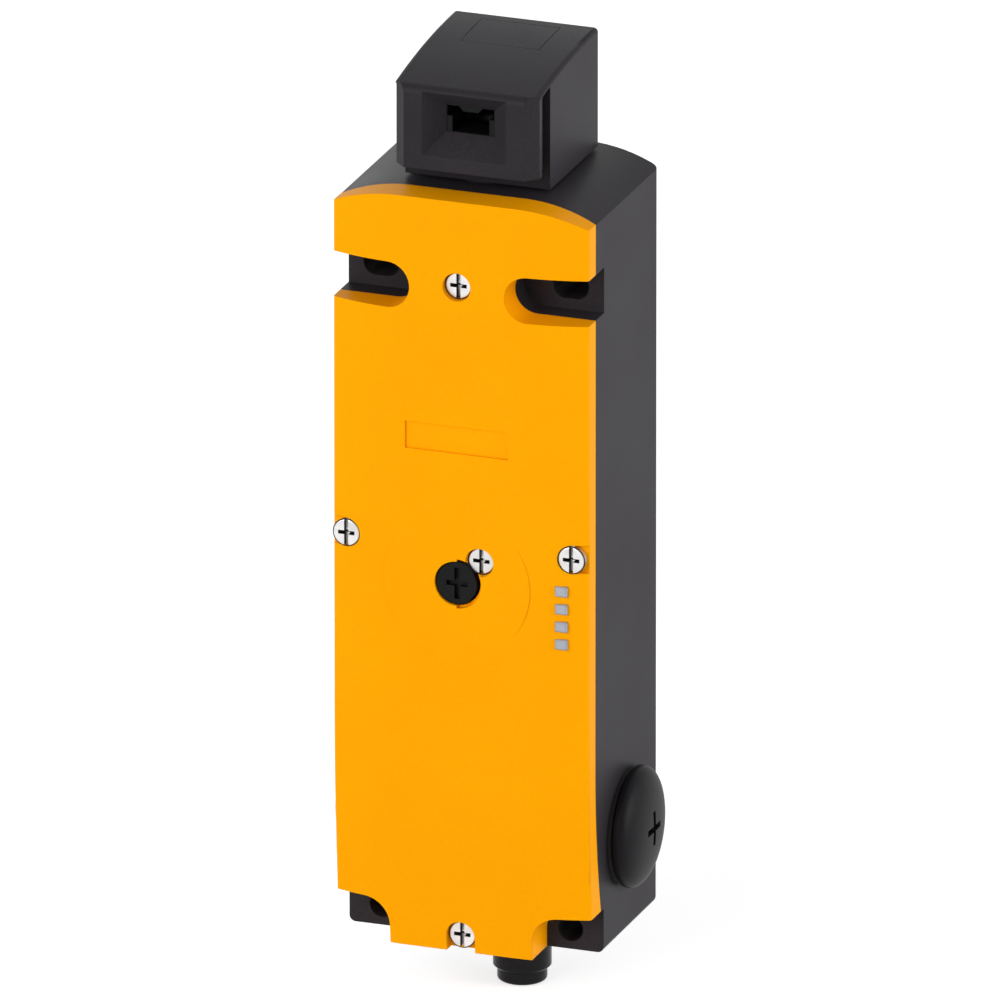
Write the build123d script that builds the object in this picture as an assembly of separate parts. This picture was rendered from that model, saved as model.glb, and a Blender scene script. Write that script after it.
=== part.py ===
from build123d import *
from math import atan2, cos, degrees, pi, radians, sin
import os

# Solenoid tongue interlock switch. Millimetres, +Z up, X to the right seen from the front.
# The back face lies on y = 0 and the front looks along -Y. Heights are taken from the
# housing's underside here, and the finished parts are set down on the hole pattern's centre.

# Housing
width = 54.0
ear_depth = 32.0
shoulder_height = 155.8
dome_rise = 3.7
dome_flat = 24.0
wall = 2.6
back_corner = 1.5
foot_corner = 1.3

# Parting line between housing and cover
rim_stand = 4.84
rim_bend_height = 40.0
ear_rim_stand = 1.5
ear_height = 9.4

# Front cover
cover_stand = 11.5
crown_flat = 22.0
crown_drop = 2.6
chin_start = 48.0
chin_setback = 2.55
cover_wall = 2.4
cover_top_rise = 0.1
cover_edge_radius = 0.8
foot_width = 30.06
foot_fillet = 5.5
pad_radius = 15.5
label_width = 21.8
label_height = 5.7
label_floor_height = 106.5
label_depth = 0.5

# Fixing holes
hole_spacing = 40.0
hole_radius = 2.65
lower_hole_height = 4.3
upper_hole_height = 140.5
slot_length = 7.6
notch_height = 9.6
notch_reach = 10.0

# Cover screws
screw_head_radius = 2.68
screw_head_height = 1.9
screw_shank_radius = 1.6
screw_recess_radius = 2.95
screw_slot_width = 0.85
screw_slot_depth = 0.9
screw_cross_reach = 1.6
screw_edge = 0.2
small_slot_width = 0.6
screw_head_stand = 10.3
foot_screw_head_stand = 8.2
screw_boss_radius = 4.0
screw_grip = 8.0
top_screw_height = 141.6
side_screw_height = 86.5
side_screw_inset = 3.2
centre_screw_height = 84.0
centre_screw_offset = 4.83
foot_screw_height = 3.4
foot_notch_radius = 3.0

# Clearances
running = 0.05
seat_gap = 0.02
free_gap = 0.3
open_gap = 1.0

# Gasket
gasket_inset = 0.6
gasket_width = 0.9
gasket_height = 1.2

# Mechanism axis and head
axis_depth = 10.75
head_gap = 0.4
head_width = 30.6
head_back = 28.7
body_front = 0.85
block_front = 7.2
block_lift = 4.5
block_width = 30.2
block_chamfer = 2.4
block_back = 3.3
groove_width = 27.4
roof_back_height = 184.8
roof_mid_height = 184.0
roof_mid_depth = 12.0
roof_front_height = 181.1
roof_edge = 0.9
block_brow = 1.8
mouth_width = 17.8
mouth_height = 13.5
mouth_floor_height = 166.9
funnel_depth = 4.1
throat_width = 9.9
throat_height = 5.4
throat_centre_height = 174.0
slot_width = 7.8
slot_ear_height = 2.2
ridge_width = 3.2
ridge_top_width = 5.0
ridge_drop = 1.0
guide_wall = 1.5
head_cavity_half = 11.5
head_cavity_front = 3.5
head_cavity_back = 25.5
head_cavity_height = 180.0
blank_width = 16.4
blank_front = 14.0
blank_back = 26.0
blank_height = 1.2
blank_joint = 0.12
top_slot_width = 9.9
top_slot_front = 17.0
top_slot_back = 22.4
base_height = 2.6
base_pillar_radius = 2.1
base_screw_radius = 0.9
base_screw_grip = 7.0
neck_radius = 9.5
neck_length = 10.9
neck_boss_radius = 12.4
neck_boss_length = 8.0
clip_height = 1.2
clip_stand = 1.8
clip_bite = 1.0
clip_opening = 6.0
seal_section = 0.8
seal_squeeze = 0.35

# Cam wheel
cam_depth = 14.0
cam_height = 168.5
cam_stroke = 50.0
cam_lift_rest = 6.0
cam_margin = 4.0
cam_lobe_half = 3.6
cam_disc_inner = 4.0
cam_disc_outer = 6.8
cam_disc_radius = 6.6
cam_hub_radius = 2.9
cam_notch_width = 3.4
cam_notch_floor = 3.6
cam_notch_angle = 128.0
axle_radius = 1.5
axle_half_length = 13.4

# Plunger and lock rod
plunger_radius = 3.5
rod_radius = 1.5
cam_gap = 0.15
rod_tip_drop = 0.25
tip_edge = 0.3
plunger_bush_wall = 1.5
plunger_bush_stand = 0.6
lock_stroke = 3.0

# Contact blocks
block_half = 15.0
block_half_depth = 8.0
contact_block_height = 18.0
lock_block_floor = 92.0
block_spacing = 20.0
block_corner = 1.0
block_floor = 2.0
rib_width = 2.0
well_half = 11.0
well_half_depth = 4.4
carrier_half = 3.2
carrier_half_depth = 4.0
carrier_sole = 3.0
bridge_half = 9.5
bridge_offset = 2.85
bridge_width = 1.6
strip_thickness = 0.8
strip_inner = 7.5
strip_outer = 20.0
terminal_offset = 17.6
terminal_head_radius = 1.9
terminal_head_height = 1.4
terminal_grip = 2.5
terminal_shank_radius = 1.2
contact_tip_radius = 0.7
contact_tip_height = 0.5

# Release knob and its cam
knob_height = 79.0
knob_radius = 4.62
knob_recess_depth = 1.1
knob_stand = 11.2
knob_slot_length = 6.6
knob_slot_width = 1.1
knob_cross_length = 4.5
knob_edge = 0.3
knob_skirt = 2.0
shaft_radius = 3.0
knob_relief_radius = 5.2
knob_relief_depth = 1.2
release_turn = 90.0
release_lift_rest = 3.2
release_cam_front = 4.2
release_cam_back = 8.4
bush_radius = 4.4
bush_flange_radius = 5.1
bush_flange_height = 1.2

# Follower plate on the lock rod
follower_half = 5.0
follower_front = 4.4
follower_back = 13.4
follower_thickness = 2.4
follower_corner = 1.5

# Solenoid
solenoid_floor = 30.0
solenoid_height = 32.0
solenoid_half = 15.0
solenoid_half_depth = 12.0
yoke_plate = 2.5
coil_radius = 11.3
coil_recess = 0.5
bobbin_bore = 4.4
bobbin_wall = 0.9
bobbin_flange = 1.2
armature_radius = 4.1
core_height = 10.0
armature_gap = 3.6
spring_wire = 0.35
spring_coil_radius = 3.0
position_spring_turns = 4
armature_spring_turns = 5

# Chassis, board and light guide
chassis_front = 0.2
chassis_thickness = 2.2
chassis_inset = 4.0
chassis_gap = 0.6
chassis_top = 96.0
pillar_radius = 2.4
pillar_side_inset = 9.0
pillar_inset = 3.4
chassis_screw_radius = 1.1
board_thickness = 1.6
board_width = 3.6
board_side_inset = 3.1
board_margin = 4.0
led_side_inset = 5.2
led_top_height = 79.7
led_pitch = 3.73
led_count = 4
led_width = 2.5
led_height = 2.1
led_stand = 0.6
light_bar_depth = 1.0
light_bar_margin = 0.4
lens_edge = 0.2
led_chip = 1.4

# Cable entries
entry_depth = 14.0
entry_height = 22.3
entry_radius = 10.0
entry_boss = 6.0
plug_rim_radius = 12.4
plug_rim_stand = 1.2
plug_dome = 3.7
plug_flat_share = 0.3
plug_bend_share = 0.78
plug_bend_rise = 0.7
plug_shank = 8.0
plug_cross_length = 7.0
plug_cross_width = 1.2
plug_cross_depth = 1.6
plug_seal_height = 0.8
entry_seal_edge = 0.6
entry_seal_play = 0.2

# Round connector under the housing
connector_offset = 4.5
connector_depth = 14.5
connector_radius = 5.9
connector_seat_radius = 6.2
connector_edge = 0.5
connector_nose_edge = 0.7
connector_nose_radius = 5.05
connector_collar_reach = 10.5
connector_reach = 13.25
connector_flange_radius = 8.0
connector_flange_height = 2.6
connector_wall = 0.85
connector_socket_depth = 8.5
connector_tail = 6.0
connector_seal_height = 0.9
pin_count = 7
pin_ring_radius = 2.75
pin_radius = 0.4
pin_length = 7.0
pin_tail = 2.0
key_width = 1.2
key_height = 0.9
key_setback = 1.5
thread_relief_radius = 5.55
thread_relief_height = 1.6

# Terminal strip
strip_block_half = 11.0
strip_block_depth = 6.0
strip_block_floor = 14.0
strip_block_height = 14.0
strip_poles = 4
strip_screw_radius = 1.7
strip_screw_sink = 0.6
strip_stand = 1.0

# Derived places
ear_plane = -ear_depth
rim_plane = ear_plane - rim_stand
front_plane = ear_plane - cover_stand
dome_height = shoulder_height + dome_rise
screw_seat_plane = ear_plane - screw_head_stand + screw_head_height
knob_back_plane = screw_seat_plane + knob_skirt
strip_back_plane = -wall - strip_stand
entry_y = ear_plane + entry_depth
side_screw_offset = width / 2 - side_screw_inset
chassis_half = width / 2 - chassis_inset
pillar_offset = width / 2 - pillar_side_inset
led_offset = width / 2 - led_side_inset
board_right = width / 2 - board_side_inset
board_left = board_right - board_width
pattern_centre = (lower_hole_height + upper_hole_height) / 2
axis_y = ear_plane + axis_depth
cam_y = ear_plane + cam_depth
cam_rate = cam_depth - axis_depth
cam_lift = cam_rate * radians(cam_stroke)
head_floor = dome_height + head_gap
plunger_top = cam_height - cam_lift_rest - cam_gap
rod_top = plunger_top - rod_tip_drop
release_rate = lock_stroke / radians(release_turn)
follower_top = knob_height - release_lift_rest - cam_gap
position_block_floor = lock_block_floor + block_spacing
solenoid_top = solenoid_floor + solenoid_height
chassis_floor = solenoid_top + chassis_gap
neck_foot = head_floor - neck_length
neck_boss_foot = dome_height - neck_boss_length
plunger_bush_radius = plunger_radius + running + plunger_bush_wall
beyond = 60.0


def along_x(outline, left, right):
    """Prism of a Y-Z outline between two X places."""
    side_view = Plane(origin=(left, 0, 0), x_dir=(0, 1, 0), z_dir=(1, 0, 0))
    return extrude(side_view * outline, amount=right - left)


def along_y(outline, front, back):
    """Prism of an X-Z outline between two Y places."""
    front_view = Plane(origin=(0, back, 0), x_dir=(1, 0, 0), z_dir=(0, -1, 0))
    return extrude(front_view * outline, amount=back - front)


def along_z(outline, low, high):
    """Prism of an X-Y outline between two heights."""
    return extrude(Pos(0, 0, low) * outline, amount=high - low)


def block(left, right, front, back, low, high):
    """Box between two places on each axis."""
    base = Pos((left + right) / 2, (front + back) / 2) * Rectangle(right - left, back - front)
    return along_z(base, low, high)


def rod_x(radius, left, right, y, z):
    return along_x(Pos(y, z) * Circle(radius), left, right)


def rod_y(radius, front, back, x, z):
    return along_y(Pos(x, z) * Circle(radius), front, back)


def rod_z(radius, low, high, x=0.0, y=axis_y):
    return along_z(Pos(x, y) * Circle(radius), low, high)


def tube_z(outer, inner, low, high, x=0.0, y=axis_y):
    return along_z(Pos(x, y) * (Circle(outer) - Circle(inner)), low, high)


# Outlines of the casing


def domed_outline(half, foot, shoulder, rise, flat):
    """Upright panel with a flat-topped dome that falls away to its shoulders."""
    top = shoulder + rise
    edge = Line((-half, foot), (half, foot)) + Line((half, foot), (half, shoulder))
    edge += TangentArc((flat / 2, top), (half, shoulder), tangent=(1, 0))
    edge += Line((flat / 2, top), (-flat / 2, top))
    edge += TangentArc((-flat / 2, top), (-half, shoulder), tangent=(-1, 0))
    edge += Line((-half, shoulder), (-half, foot))
    return make_face(edge)


def notch_outline():
    """Side notch over an upper fixing hole, with a round inner end."""
    centre = notch_reach + notch_height / 2
    reach = width / 2 + free_gap - centre
    bar = Pos(centre + reach / 2, upper_hole_height) * Rectangle(reach, notch_height)
    return bar + Pos(centre, upper_hole_height) * Circle(notch_height / 2)


def ear_outline():
    """Lower corner cut out of the cover, filleted where it meets the foot."""
    inner = foot_width / 2
    outer = width / 2 + free_gap
    low = -free_gap
    edge = Line((inner, low), (inner, ear_height - foot_fillet))
    edge += TangentArc((inner, ear_height - foot_fillet), (inner + foot_fillet, ear_height), tangent=(0, 1))
    edge += Line((inner + foot_fillet, ear_height), (outer, ear_height))
    edge += Line((outer, ear_height), (outer, low)) + Line((outer, low), (inner, low))
    return make_face(edge)


def cover_outline():
    outline = domed_outline(width / 2, 0, shoulder_height + cover_top_rise, dome_rise, dome_flat)
    for cut in (notch_outline(), ear_outline()):
        outline -= cut
        outline -= mirror(cut, about=Plane.YZ)
    return outline


def parting_region():
    """All that lies in front of the parting line, seen from the side."""
    front = front_plane - beyond
    low = -beyond
    high = dome_height + beyond
    ear_rim = ear_plane - ear_rim_stand
    edge = Line((front, low), (ear_plane, low)) + Line((ear_plane, low), (ear_plane, ear_height))
    edge += Line((ear_plane, ear_height), (ear_rim, ear_height))
    edge += TangentArc((rim_plane, rim_bend_height), (ear_rim, ear_height), tangent=(0, -1))
    edge += Line((rim_plane, rim_bend_height), (rim_plane, high)) + Line((rim_plane, high), (front, high))
    edge += Line((front, high), (front, low))
    return along_x(make_face(edge), -width, width)


def crown_section(inset):
    """Cover cut across: a flat crown that falls away to both sides."""
    half = width / 2 - inset
    front = front_plane + inset
    edge = Line((-crown_flat / 2, front), (crown_flat / 2, front))
    edge += TangentArc((crown_flat / 2, front), (half, front + crown_drop), tangent=(1, 0))
    edge += Line((half, front + crown_drop), (half, 0)) + Line((half, 0), (-half, 0))
    edge += Line((-half, 0), (-half, front + crown_drop))
    edge += TangentArc((-crown_flat / 2, front), (-half, front + crown_drop), tangent=(-1, 0))
    face = make_face(edge)
    corners = face.vertices().filter_by(lambda v: abs(v.Y - front - crown_drop) < 0.001)
    return fillet(corners, cover_edge_radius)


def crown_form(inset):
    """Crowned front, upright above and swept back in an arc below the chin."""
    sweep_radius = (chin_start**2 + chin_setback**2) / (2 * chin_setback)
    section = Pos(0, 0, chin_start) * crown_section(inset)
    upper = extrude(section, amount=dome_height + beyond - chin_start, dir=(0, 0, 1))
    pivot = Axis((0, front_plane + sweep_radius, chin_start), (1, 0, 0))
    swept = degrees(1.5 * chin_start / sweep_radius)
    return upper + revolve(section, axis=pivot, revolution_arc=swept)


def screw_places():
    """X, height and head plane of each cover screw."""
    head = screw_seat_plane - screw_head_height
    return [
        (0.0, top_screw_height, head),
        (-side_screw_offset, side_screw_height, head),
        (side_screw_offset, side_screw_height, head),
        (centre_screw_offset, centre_screw_height, head),
        (0.0, foot_screw_height, ear_plane - foot_screw_head_stand),
    ]


def open_recess(x, z, radius, turn):
    """U-shaped recess outline whose mouth points out of the casing."""
    arm = Pos(0, width / 4) * Rectangle(2 * radius, width / 2)
    return Pos(x, z) * Rot(0, 0, turn) * (Circle(radius) + arm)


def entry_signs():
    return (-1, 1)


# Casing


def housing():
    parting = parting_region()
    outline = domed_outline(width / 2, 0, shoulder_height, dome_rise, dome_flat)
    feet = outline.vertices().sort_by(Axis.Y)[:2]
    body = along_y(fillet(feet, foot_corner), rim_plane, 0)
    uprights = body.edges().filter_by(Axis.Z).filter_by(lambda e: abs(e.center().Y) < 0.001)
    body = fillet(uprights, back_corner) - parting
    hollow = offset(cover_outline(), amount=-wall, kind=Kind.INTERSECTION)
    cavity = along_y(hollow, rim_plane - free_gap, -wall)
    cavity -= rod_z(neck_boss_radius, neck_boss_foot, dome_height)
    cavity -= block(-notch_reach, notch_reach, rim_plane - free_gap, axis_y - plunger_radius - 2 * free_gap,
                    top_screw_height - screw_boss_radius, top_screw_height + screw_boss_radius)
    for x, z, head in screw_places()[1:3]:
        boss_end = head + screw_head_height + 2 * screw_grip
        cavity -= rod_y(screw_boss_radius, rim_plane - free_gap, boss_end, x, z)
    foot_end = ear_plane + connector_depth - connector_flange_radius - free_gap
    cavity -= rod_y(screw_boss_radius, rim_plane, foot_end, 0, foot_screw_height)
    for side in entry_signs():
        inner = side * (width / 2 - wall - entry_boss)
        outer = side * width / 2
        cavity -= rod_x(plug_rim_radius, min(inner, outer), max(inner, outer), entry_y, entry_height)
    for x in (-pillar_offset, pillar_offset):
        for z in (chassis_floor + pillar_inset, chassis_top - pillar_inset):
            cavity -= rod_y(pillar_radius, ear_plane + chassis_front + chassis_thickness, 0, x, z)
    cavity -= rib_pair(solenoid_floor, solenoid_top, axis_y + solenoid_half_depth)
    cavity -= rib_pair(lock_block_floor, position_block_floor + contact_block_height, axis_y + block_half_depth)
    cavity -= block(-strip_block_half, strip_block_half, strip_back_plane, 0, strip_block_floor,
                    strip_block_floor + strip_block_height)
    body -= cavity
    body -= along_y(notch_outline(), front_plane, ear_plane)
    body -= along_y(mirror(notch_outline(), about=Plane.YZ), front_plane, ear_plane)
    body -= rod_z(neck_radius + running, neck_boss_foot - free_gap, dome_height + free_gap)
    body -= rod_z(connector_seat_radius + seat_gap, -free_gap, wall + free_gap, connector_offset,
                  ear_plane + connector_depth)
    boss_end = width / 2 - wall - entry_boss
    for side in entry_signs():
        body -= rod_x(entry_radius + running, min(side * boss_end, side * width),
                      max(side * boss_end, side * width), entry_y, entry_height)
        body -= along_y(Pos(side * hole_spacing / 2, lower_hole_height) * Circle(hole_radius), rim_plane, 0)
        upper = SlotOverall(slot_length, 2 * hole_radius)
        body -= along_y(Pos(side * hole_spacing / 2, upper_hole_height) * upper, rim_plane, 0)
    for x, z, head in screw_places():
        if z != centre_screw_height:
            body -= rod_y(screw_shank_radius + seat_gap, rim_plane - free_gap,
                          head + screw_head_height + screw_grip + free_gap, x, z)
    body -= gasket_band(running, gasket_height + running)
    for x in (-pillar_offset, pillar_offset):
        for z in (chassis_floor + pillar_inset, chassis_top - pillar_inset):
            start = ear_plane + chassis_front + chassis_thickness
            body -= rod_y(chassis_screw_radius + seat_gap, start - free_gap, start + screw_grip, x, z)
    return body


def rib_pair(low, high, front):
    """Two upright ribs on the back wall that carry an inner assembly."""
    inner = block_half - rib_width
    ribs = block(-inner, rib_width - inner, front, 0, low, high)
    return ribs + mirror(ribs, about=Plane.YZ)


def gasket_band(spread, depth):
    """Ring that follows the rim of the housing just behind the parting line."""
    outer = offset(cover_outline(), amount=-gasket_inset + spread, kind=Kind.INTERSECTION)
    inner = offset(cover_outline(), amount=-gasket_inset - gasket_width - spread, kind=Kind.INTERSECTION)
    ring = along_y(outer - inner, rim_plane - free_gap, ear_plane + gasket_height)
    return (ring & (Pos(0, depth, depth) * parting_region())) - parting_region()


def front_cover():
    parting = parting_region()
    outer = crown_form(0) & along_y(cover_outline(), front_plane - free_gap, ear_plane)
    pad = rod_y(pad_radius, front_plane, screw_seat_plane - screw_head_height, 0, knob_height)
    outer = (outer + pad) & parting
    hollow = offset(cover_outline(), amount=-cover_wall, kind=Kind.INTERSECTION)
    inner = crown_form(cover_wall) & along_y(hollow, front_plane - free_gap, ear_plane + free_gap)
    for x, z, head in screw_places():
        inner -= rod_y(screw_boss_radius, front_plane, ear_plane, x, z)
    inner -= rod_y(knob_relief_radius + cover_wall, front_plane, rim_plane, 0, knob_height)
    cover = outer - inner
    for x, z, head in screw_places():
        seat = head + screw_head_height
        if x == 0.0 and z == foot_screw_height:
            recess = open_recess(x, z, foot_notch_radius, 180)
        elif abs(x) == side_screw_offset:
            recess = open_recess(x, z, screw_recess_radius, -90 if x > 0 else 90)
        else:
            recess = Pos(x, z) * Circle(screw_recess_radius)
        cover -= along_y(recess, front_plane - free_gap, seat)
        cover -= rod_y(screw_shank_radius + free_gap, seat - free_gap, ear_plane, x, z)
    cover -= rod_y(knob_radius + running, front_plane - free_gap, ear_plane, 0, knob_height)
    relief = rod_y(knob_relief_radius, front_plane - free_gap, front_plane + knob_relief_depth, 0, knob_height)
    cover -= relief & block(0, beyond, front_plane - free_gap, ear_plane, 0, dome_height)
    for z in led_heights():
        window = Pos(led_offset, z) * Rectangle(led_width + 2 * seat_gap, led_height + 2 * seat_gap)
        cover -= along_y(window, front_plane - free_gap, ear_plane)
    label = Pos(0, label_floor_height + label_height / 2) * Rectangle(label_width, label_height)
    return cover - along_y(label, front_plane - free_gap, front_plane + label_depth)


def cover_screw(x, z, head):
    """Flat-headed screw with a full slot crossed by a short recess."""
    seat = head + screw_head_height
    screw = rod_y(screw_head_radius, head, seat, x, z)
    rim = screw.edges().filter_by(GeomType.CIRCLE).sort_by(Axis.Y)[0]
    screw = chamfer(rim, screw_edge)
    screw += rod_y(screw_shank_radius, seat, seat + screw_grip, x, z)
    slot = Rectangle(screw_slot_width, 2 * screw_head_radius)
    slot += Rectangle(2 * screw_cross_reach, screw_slot_width)
    return screw - along_y(Pos(x, z) * slot, head - free_gap, head + screw_slot_depth)


def cover_screws():
    return Compound([cover_screw(x, z, head).solid() for x, z, head in screw_places()])


# Indicator lamps


def led_heights():
    return [led_top_height - led_pitch * i for i in range(led_count)]


def lamp_surface():
    """Depth of the cover's surface beside the lamp windows."""
    out = led_offset - crown_flat / 2
    reach = width / 2 - crown_flat / 2
    radius = (reach**2 + crown_drop**2) / (2 * crown_drop)
    return front_plane + radius - (radius**2 - out**2) ** 0.5


def led_light_guide():
    front = lamp_surface() - led_stand
    back = lamp_surface() + 2 * cover_wall
    low = led_heights()[-1] - led_height
    high = led_heights()[0] + led_height
    half = led_width / 2 + light_bar_margin
    guide = block(led_offset - half, led_offset + half, back - light_bar_depth, back, low, high)
    for z in led_heights():
        pillar = Pos(led_offset, z) * Rectangle(led_width, led_height)
        lens = along_y(pillar, front, back)
        guide += chamfer(lens.faces().sort_by(Axis.Y)[0].edges(), lens_edge)
    return guide


def board_front():
    return ear_plane + chassis_front - board_thickness


def indicator_board():
    low = led_heights()[-1] - board_margin
    high = led_heights()[0] + led_height
    return block(board_left, board_right, board_front(), ear_plane + chassis_front, low, high)


def indicator_leds():
    chips = []
    for z in led_heights():
        base = Pos(led_offset, z) * Rectangle(led_chip, led_chip)
        chips.append(along_y(base, board_front() - led_chip / 2, board_front()).solid())
    return Compound(chips)


# Mechanism chassis behind the cover


def chassis_corners():
    heights = (chassis_floor + pillar_inset, chassis_top - pillar_inset)
    return [(x, z) for x in (-pillar_offset, pillar_offset) for z in heights]


def mechanism_chassis():
    front = ear_plane + chassis_front
    back = front + chassis_thickness
    plate = block(-chassis_half, chassis_half, front, back, chassis_floor, chassis_top)
    for x in (-side_screw_offset, side_screw_offset):
        plate -= rod_y(screw_boss_radius + free_gap, front, back, x, side_screw_height)
    boss = rod_y(screw_boss_radius, rim_plane, back, centre_screw_offset, centre_screw_height)
    boss -= rod_y(bush_flange_radius + free_gap, rim_plane, front, 0, knob_height)
    plate += boss
    plate -= rod_y(screw_shank_radius + seat_gap, screw_seat_plane, screw_seat_plane + screw_grip + free_gap,
                   centre_screw_offset, centre_screw_height)
    plate -= rod_y(bush_radius + seat_gap, rim_plane, back, 0, knob_height)
    for x, z in chassis_corners():
        plate -= rod_y(chassis_screw_radius + seat_gap, front, back, x, z)
    return plate


def chassis_screws():
    front = ear_plane + chassis_front
    screws = []
    for x, z in chassis_corners():
        screw = rod_y(1.9 * chassis_screw_radius, front - chassis_screw_radius, front, x, z)
        screw += rod_y(chassis_screw_radius, front, front + screw_grip, x, z)
        cut = Pos(x, z) * Rectangle(small_slot_width, 4 * chassis_screw_radius)
        screws.append(screw - along_y(cut, front - 2 * chassis_screw_radius, front - chassis_screw_radius / 2))
    return Compound(screws)


# Auxiliary release


def involute_cam(rest_lift, rate, start, sweep, turn):
    """Cam outline whose lift over a flat face grows at one rate per radian."""
    points = []
    count = 12
    for i in range(count + 1):
        angle = radians(start + sweep * i / count)
        lift = rest_lift + rate * angle
        normal = radians(turn) + angle
        points.append((lift * cos(normal) - rate * sin(normal), lift * sin(normal) + rate * cos(normal)))
    flank = Spline(points)
    return make_face(flank + Line(points[-1], (0, 0)) + Line((0, 0), points[0]))


def screw_path():
    """Band that the securing screw's head sweeps past the knob as the knob turns."""
    out = (centre_screw_offset**2 + (centre_screw_height - knob_height)**2) ** 0.5
    start = degrees(atan2(centre_screw_height - knob_height, centre_screw_offset))
    reach = screw_head_radius + 2 * running
    far = 3 * out
    half_turn = radians(release_turn / 2)
    marks = [(far * cos(half_turn * i), -far * sin(half_turn * i)) for i in range(3)]
    wedge = Polygon((0, 0), *marks, align=None)
    band = (Circle(out + reach) - Circle(out - reach)) & (Rot(0, 0, start) * wedge)
    for turn in (start, start - release_turn):
        band += Rot(0, 0, turn) * Pos(out, 0) * Circle(reach)
    return band


def release_knob():
    front = ear_plane - knob_stand
    knob = rod_y(knob_radius, front, knob_back_plane, 0, knob_height)
    knob = chamfer(knob.edges().filter_by(GeomType.CIRCLE).sort_by(Axis.Y)[0], knob_edge)
    slot = Rectangle(knob_slot_width, knob_slot_length) + Rectangle(knob_cross_length, knob_slot_width)
    knob -= along_y(Pos(0, knob_height) * slot, front - free_gap, front + knob_recess_depth)
    return knob - along_y(Pos(0, knob_height) * screw_path(), front - free_gap, screw_seat_plane + running)


def release_shaft():
    shaft = rod_y(shaft_radius, knob_back_plane, ear_plane + release_cam_back, 0, knob_height)
    lobe = involute_cam(release_lift_rest, -release_rate, -release_turn - cam_margin,
                        release_turn + 2 * cam_margin, -90)
    lobe = Pos(0, knob_height) * (lobe + Circle(shaft_radius))
    return shaft + along_y(lobe, ear_plane + release_cam_front, ear_plane + release_cam_back)


def release_bush():
    front = ear_plane + chassis_front
    back = front + chassis_thickness
    bush = along_y(Pos(0, knob_height) * Circle(bush_radius), front, back)
    bush += along_y(Pos(0, knob_height) * Circle(bush_flange_radius), front - bush_flange_height, front)
    return bush - rod_y(shaft_radius + running, front - 2 * bush_flange_height, back, 0, knob_height)


def release_seal():
    """Lip ring round the release shaft behind the cover."""
    ring = Pos(0, knob_height) * (Circle(knob_radius) - Circle(shaft_radius + running))
    return along_y(ring, knob_back_plane + free_gap, rim_plane)


# Head


def roof_outline(drop, front, back):
    """Side view under the head's roof, which falls to the front in one long arc."""
    marks = [
        (ear_plane + head_back, roof_back_height - drop),
        (ear_plane + roof_mid_depth, roof_mid_height - drop),
        (ear_plane - block_front, roof_front_height - drop),
    ]
    arc = ThreePointArc(*marks)
    low = dome_height - beyond
    edge = arc + Line(marks[2], (marks[2][0], low)) + Line((marks[2][0], low), (marks[0][0], low))
    edge += Line((marks[0][0], low), marks[0])
    span = Pos((front + back) / 2, dome_height) * Rectangle(back - front, 4 * beyond)
    return make_face(edge) & span


def head_body():
    half = head_width / 2
    front = ear_plane - block_front
    main = along_x(roof_outline(0, front, ear_plane + head_back), -half, half)
    main &= block(-half, half, front, ear_plane + head_back, head_floor, roof_back_height)
    main -= block(-half, half, front, ear_plane + body_front, head_floor, dome_height + block_lift)
    brow = main.edges().filter_by(Axis.X).sort_by(Axis.Y)[:2].sort_by(Axis.Z)[-1]
    main = fillet(brow, block_brow)
    roof = main.edges().filter_by(GeomType.CIRCLE).group_by(SortBy.LENGTH)[-1]
    main = fillet(roof, roof_edge)
    groove_front = ear_plane - block_back
    shoulder = block_width / 2
    slab = along_x(roof_outline(roof_edge, front, groove_front), shoulder, width)
    groove = roof_outline(roof_edge, groove_front, ear_plane + body_front)
    groove = along_x(groove, groove_width / 2, width)
    bevel = Polygon((shoulder - block_chamfer, front), (width, front), (width, front + block_chamfer),
                    (shoulder, front + block_chamfer), align=None)
    corner = along_z(bevel, head_floor, roof_back_height)
    for side in entry_signs():
        for cut in (slab, groove, corner):
            main -= cut if side > 0 else mirror(cut, about=Plane.YZ)
    throat_floor = throat_centre_height - throat_height / 2
    mouth = Pos(0, mouth_floor_height + mouth_height / 2) * Rectangle(mouth_width, mouth_height)
    throat = Pos(0, throat_centre_height) * Rectangle(throat_width, throat_height)
    funnel = [Plane(origin=(0, y, 0), x_dir=(1, 0, 0), z_dir=(0, -1, 0)) * outline
              for y, outline in ((front, mouth), (front + funnel_depth, throat))]
    main -= loft(funnel)
    guide = guide_outline(seat_gap)
    main -= along_y(guide, front + funnel_depth, ear_plane + head_cavity_front)
    chamber = block(-head_cavity_half, head_cavity_half, ear_plane + head_cavity_front,
                    ear_plane + head_cavity_back, head_floor, head_cavity_height)
    for x, y in base_pillars():
        chamber -= rod_z(base_pillar_radius, head_floor + base_height, head_cavity_height, x, y)
        main -= rod_z(base_screw_radius + seat_gap, head_floor, head_floor + base_screw_grip + free_gap, x, y)
    main -= chamber
    main -= block(-top_slot_width / 2, top_slot_width / 2, ear_plane + top_slot_front,
                  ear_plane + top_slot_back, throat_floor, roof_back_height)
    main -= top_blank_skin(blank_joint)
    main -= rod_x(axle_radius + seat_gap, -axle_half_length, axle_half_length, cam_y, cam_height)
    return main


def guide_outline(spread):
    """Outside of the slot guide, set into the head behind the funnel."""
    edge = 2 * (guide_wall + spread)
    return Pos(0, throat_centre_height) * Rectangle(throat_width + edge, throat_height + edge)


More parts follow.
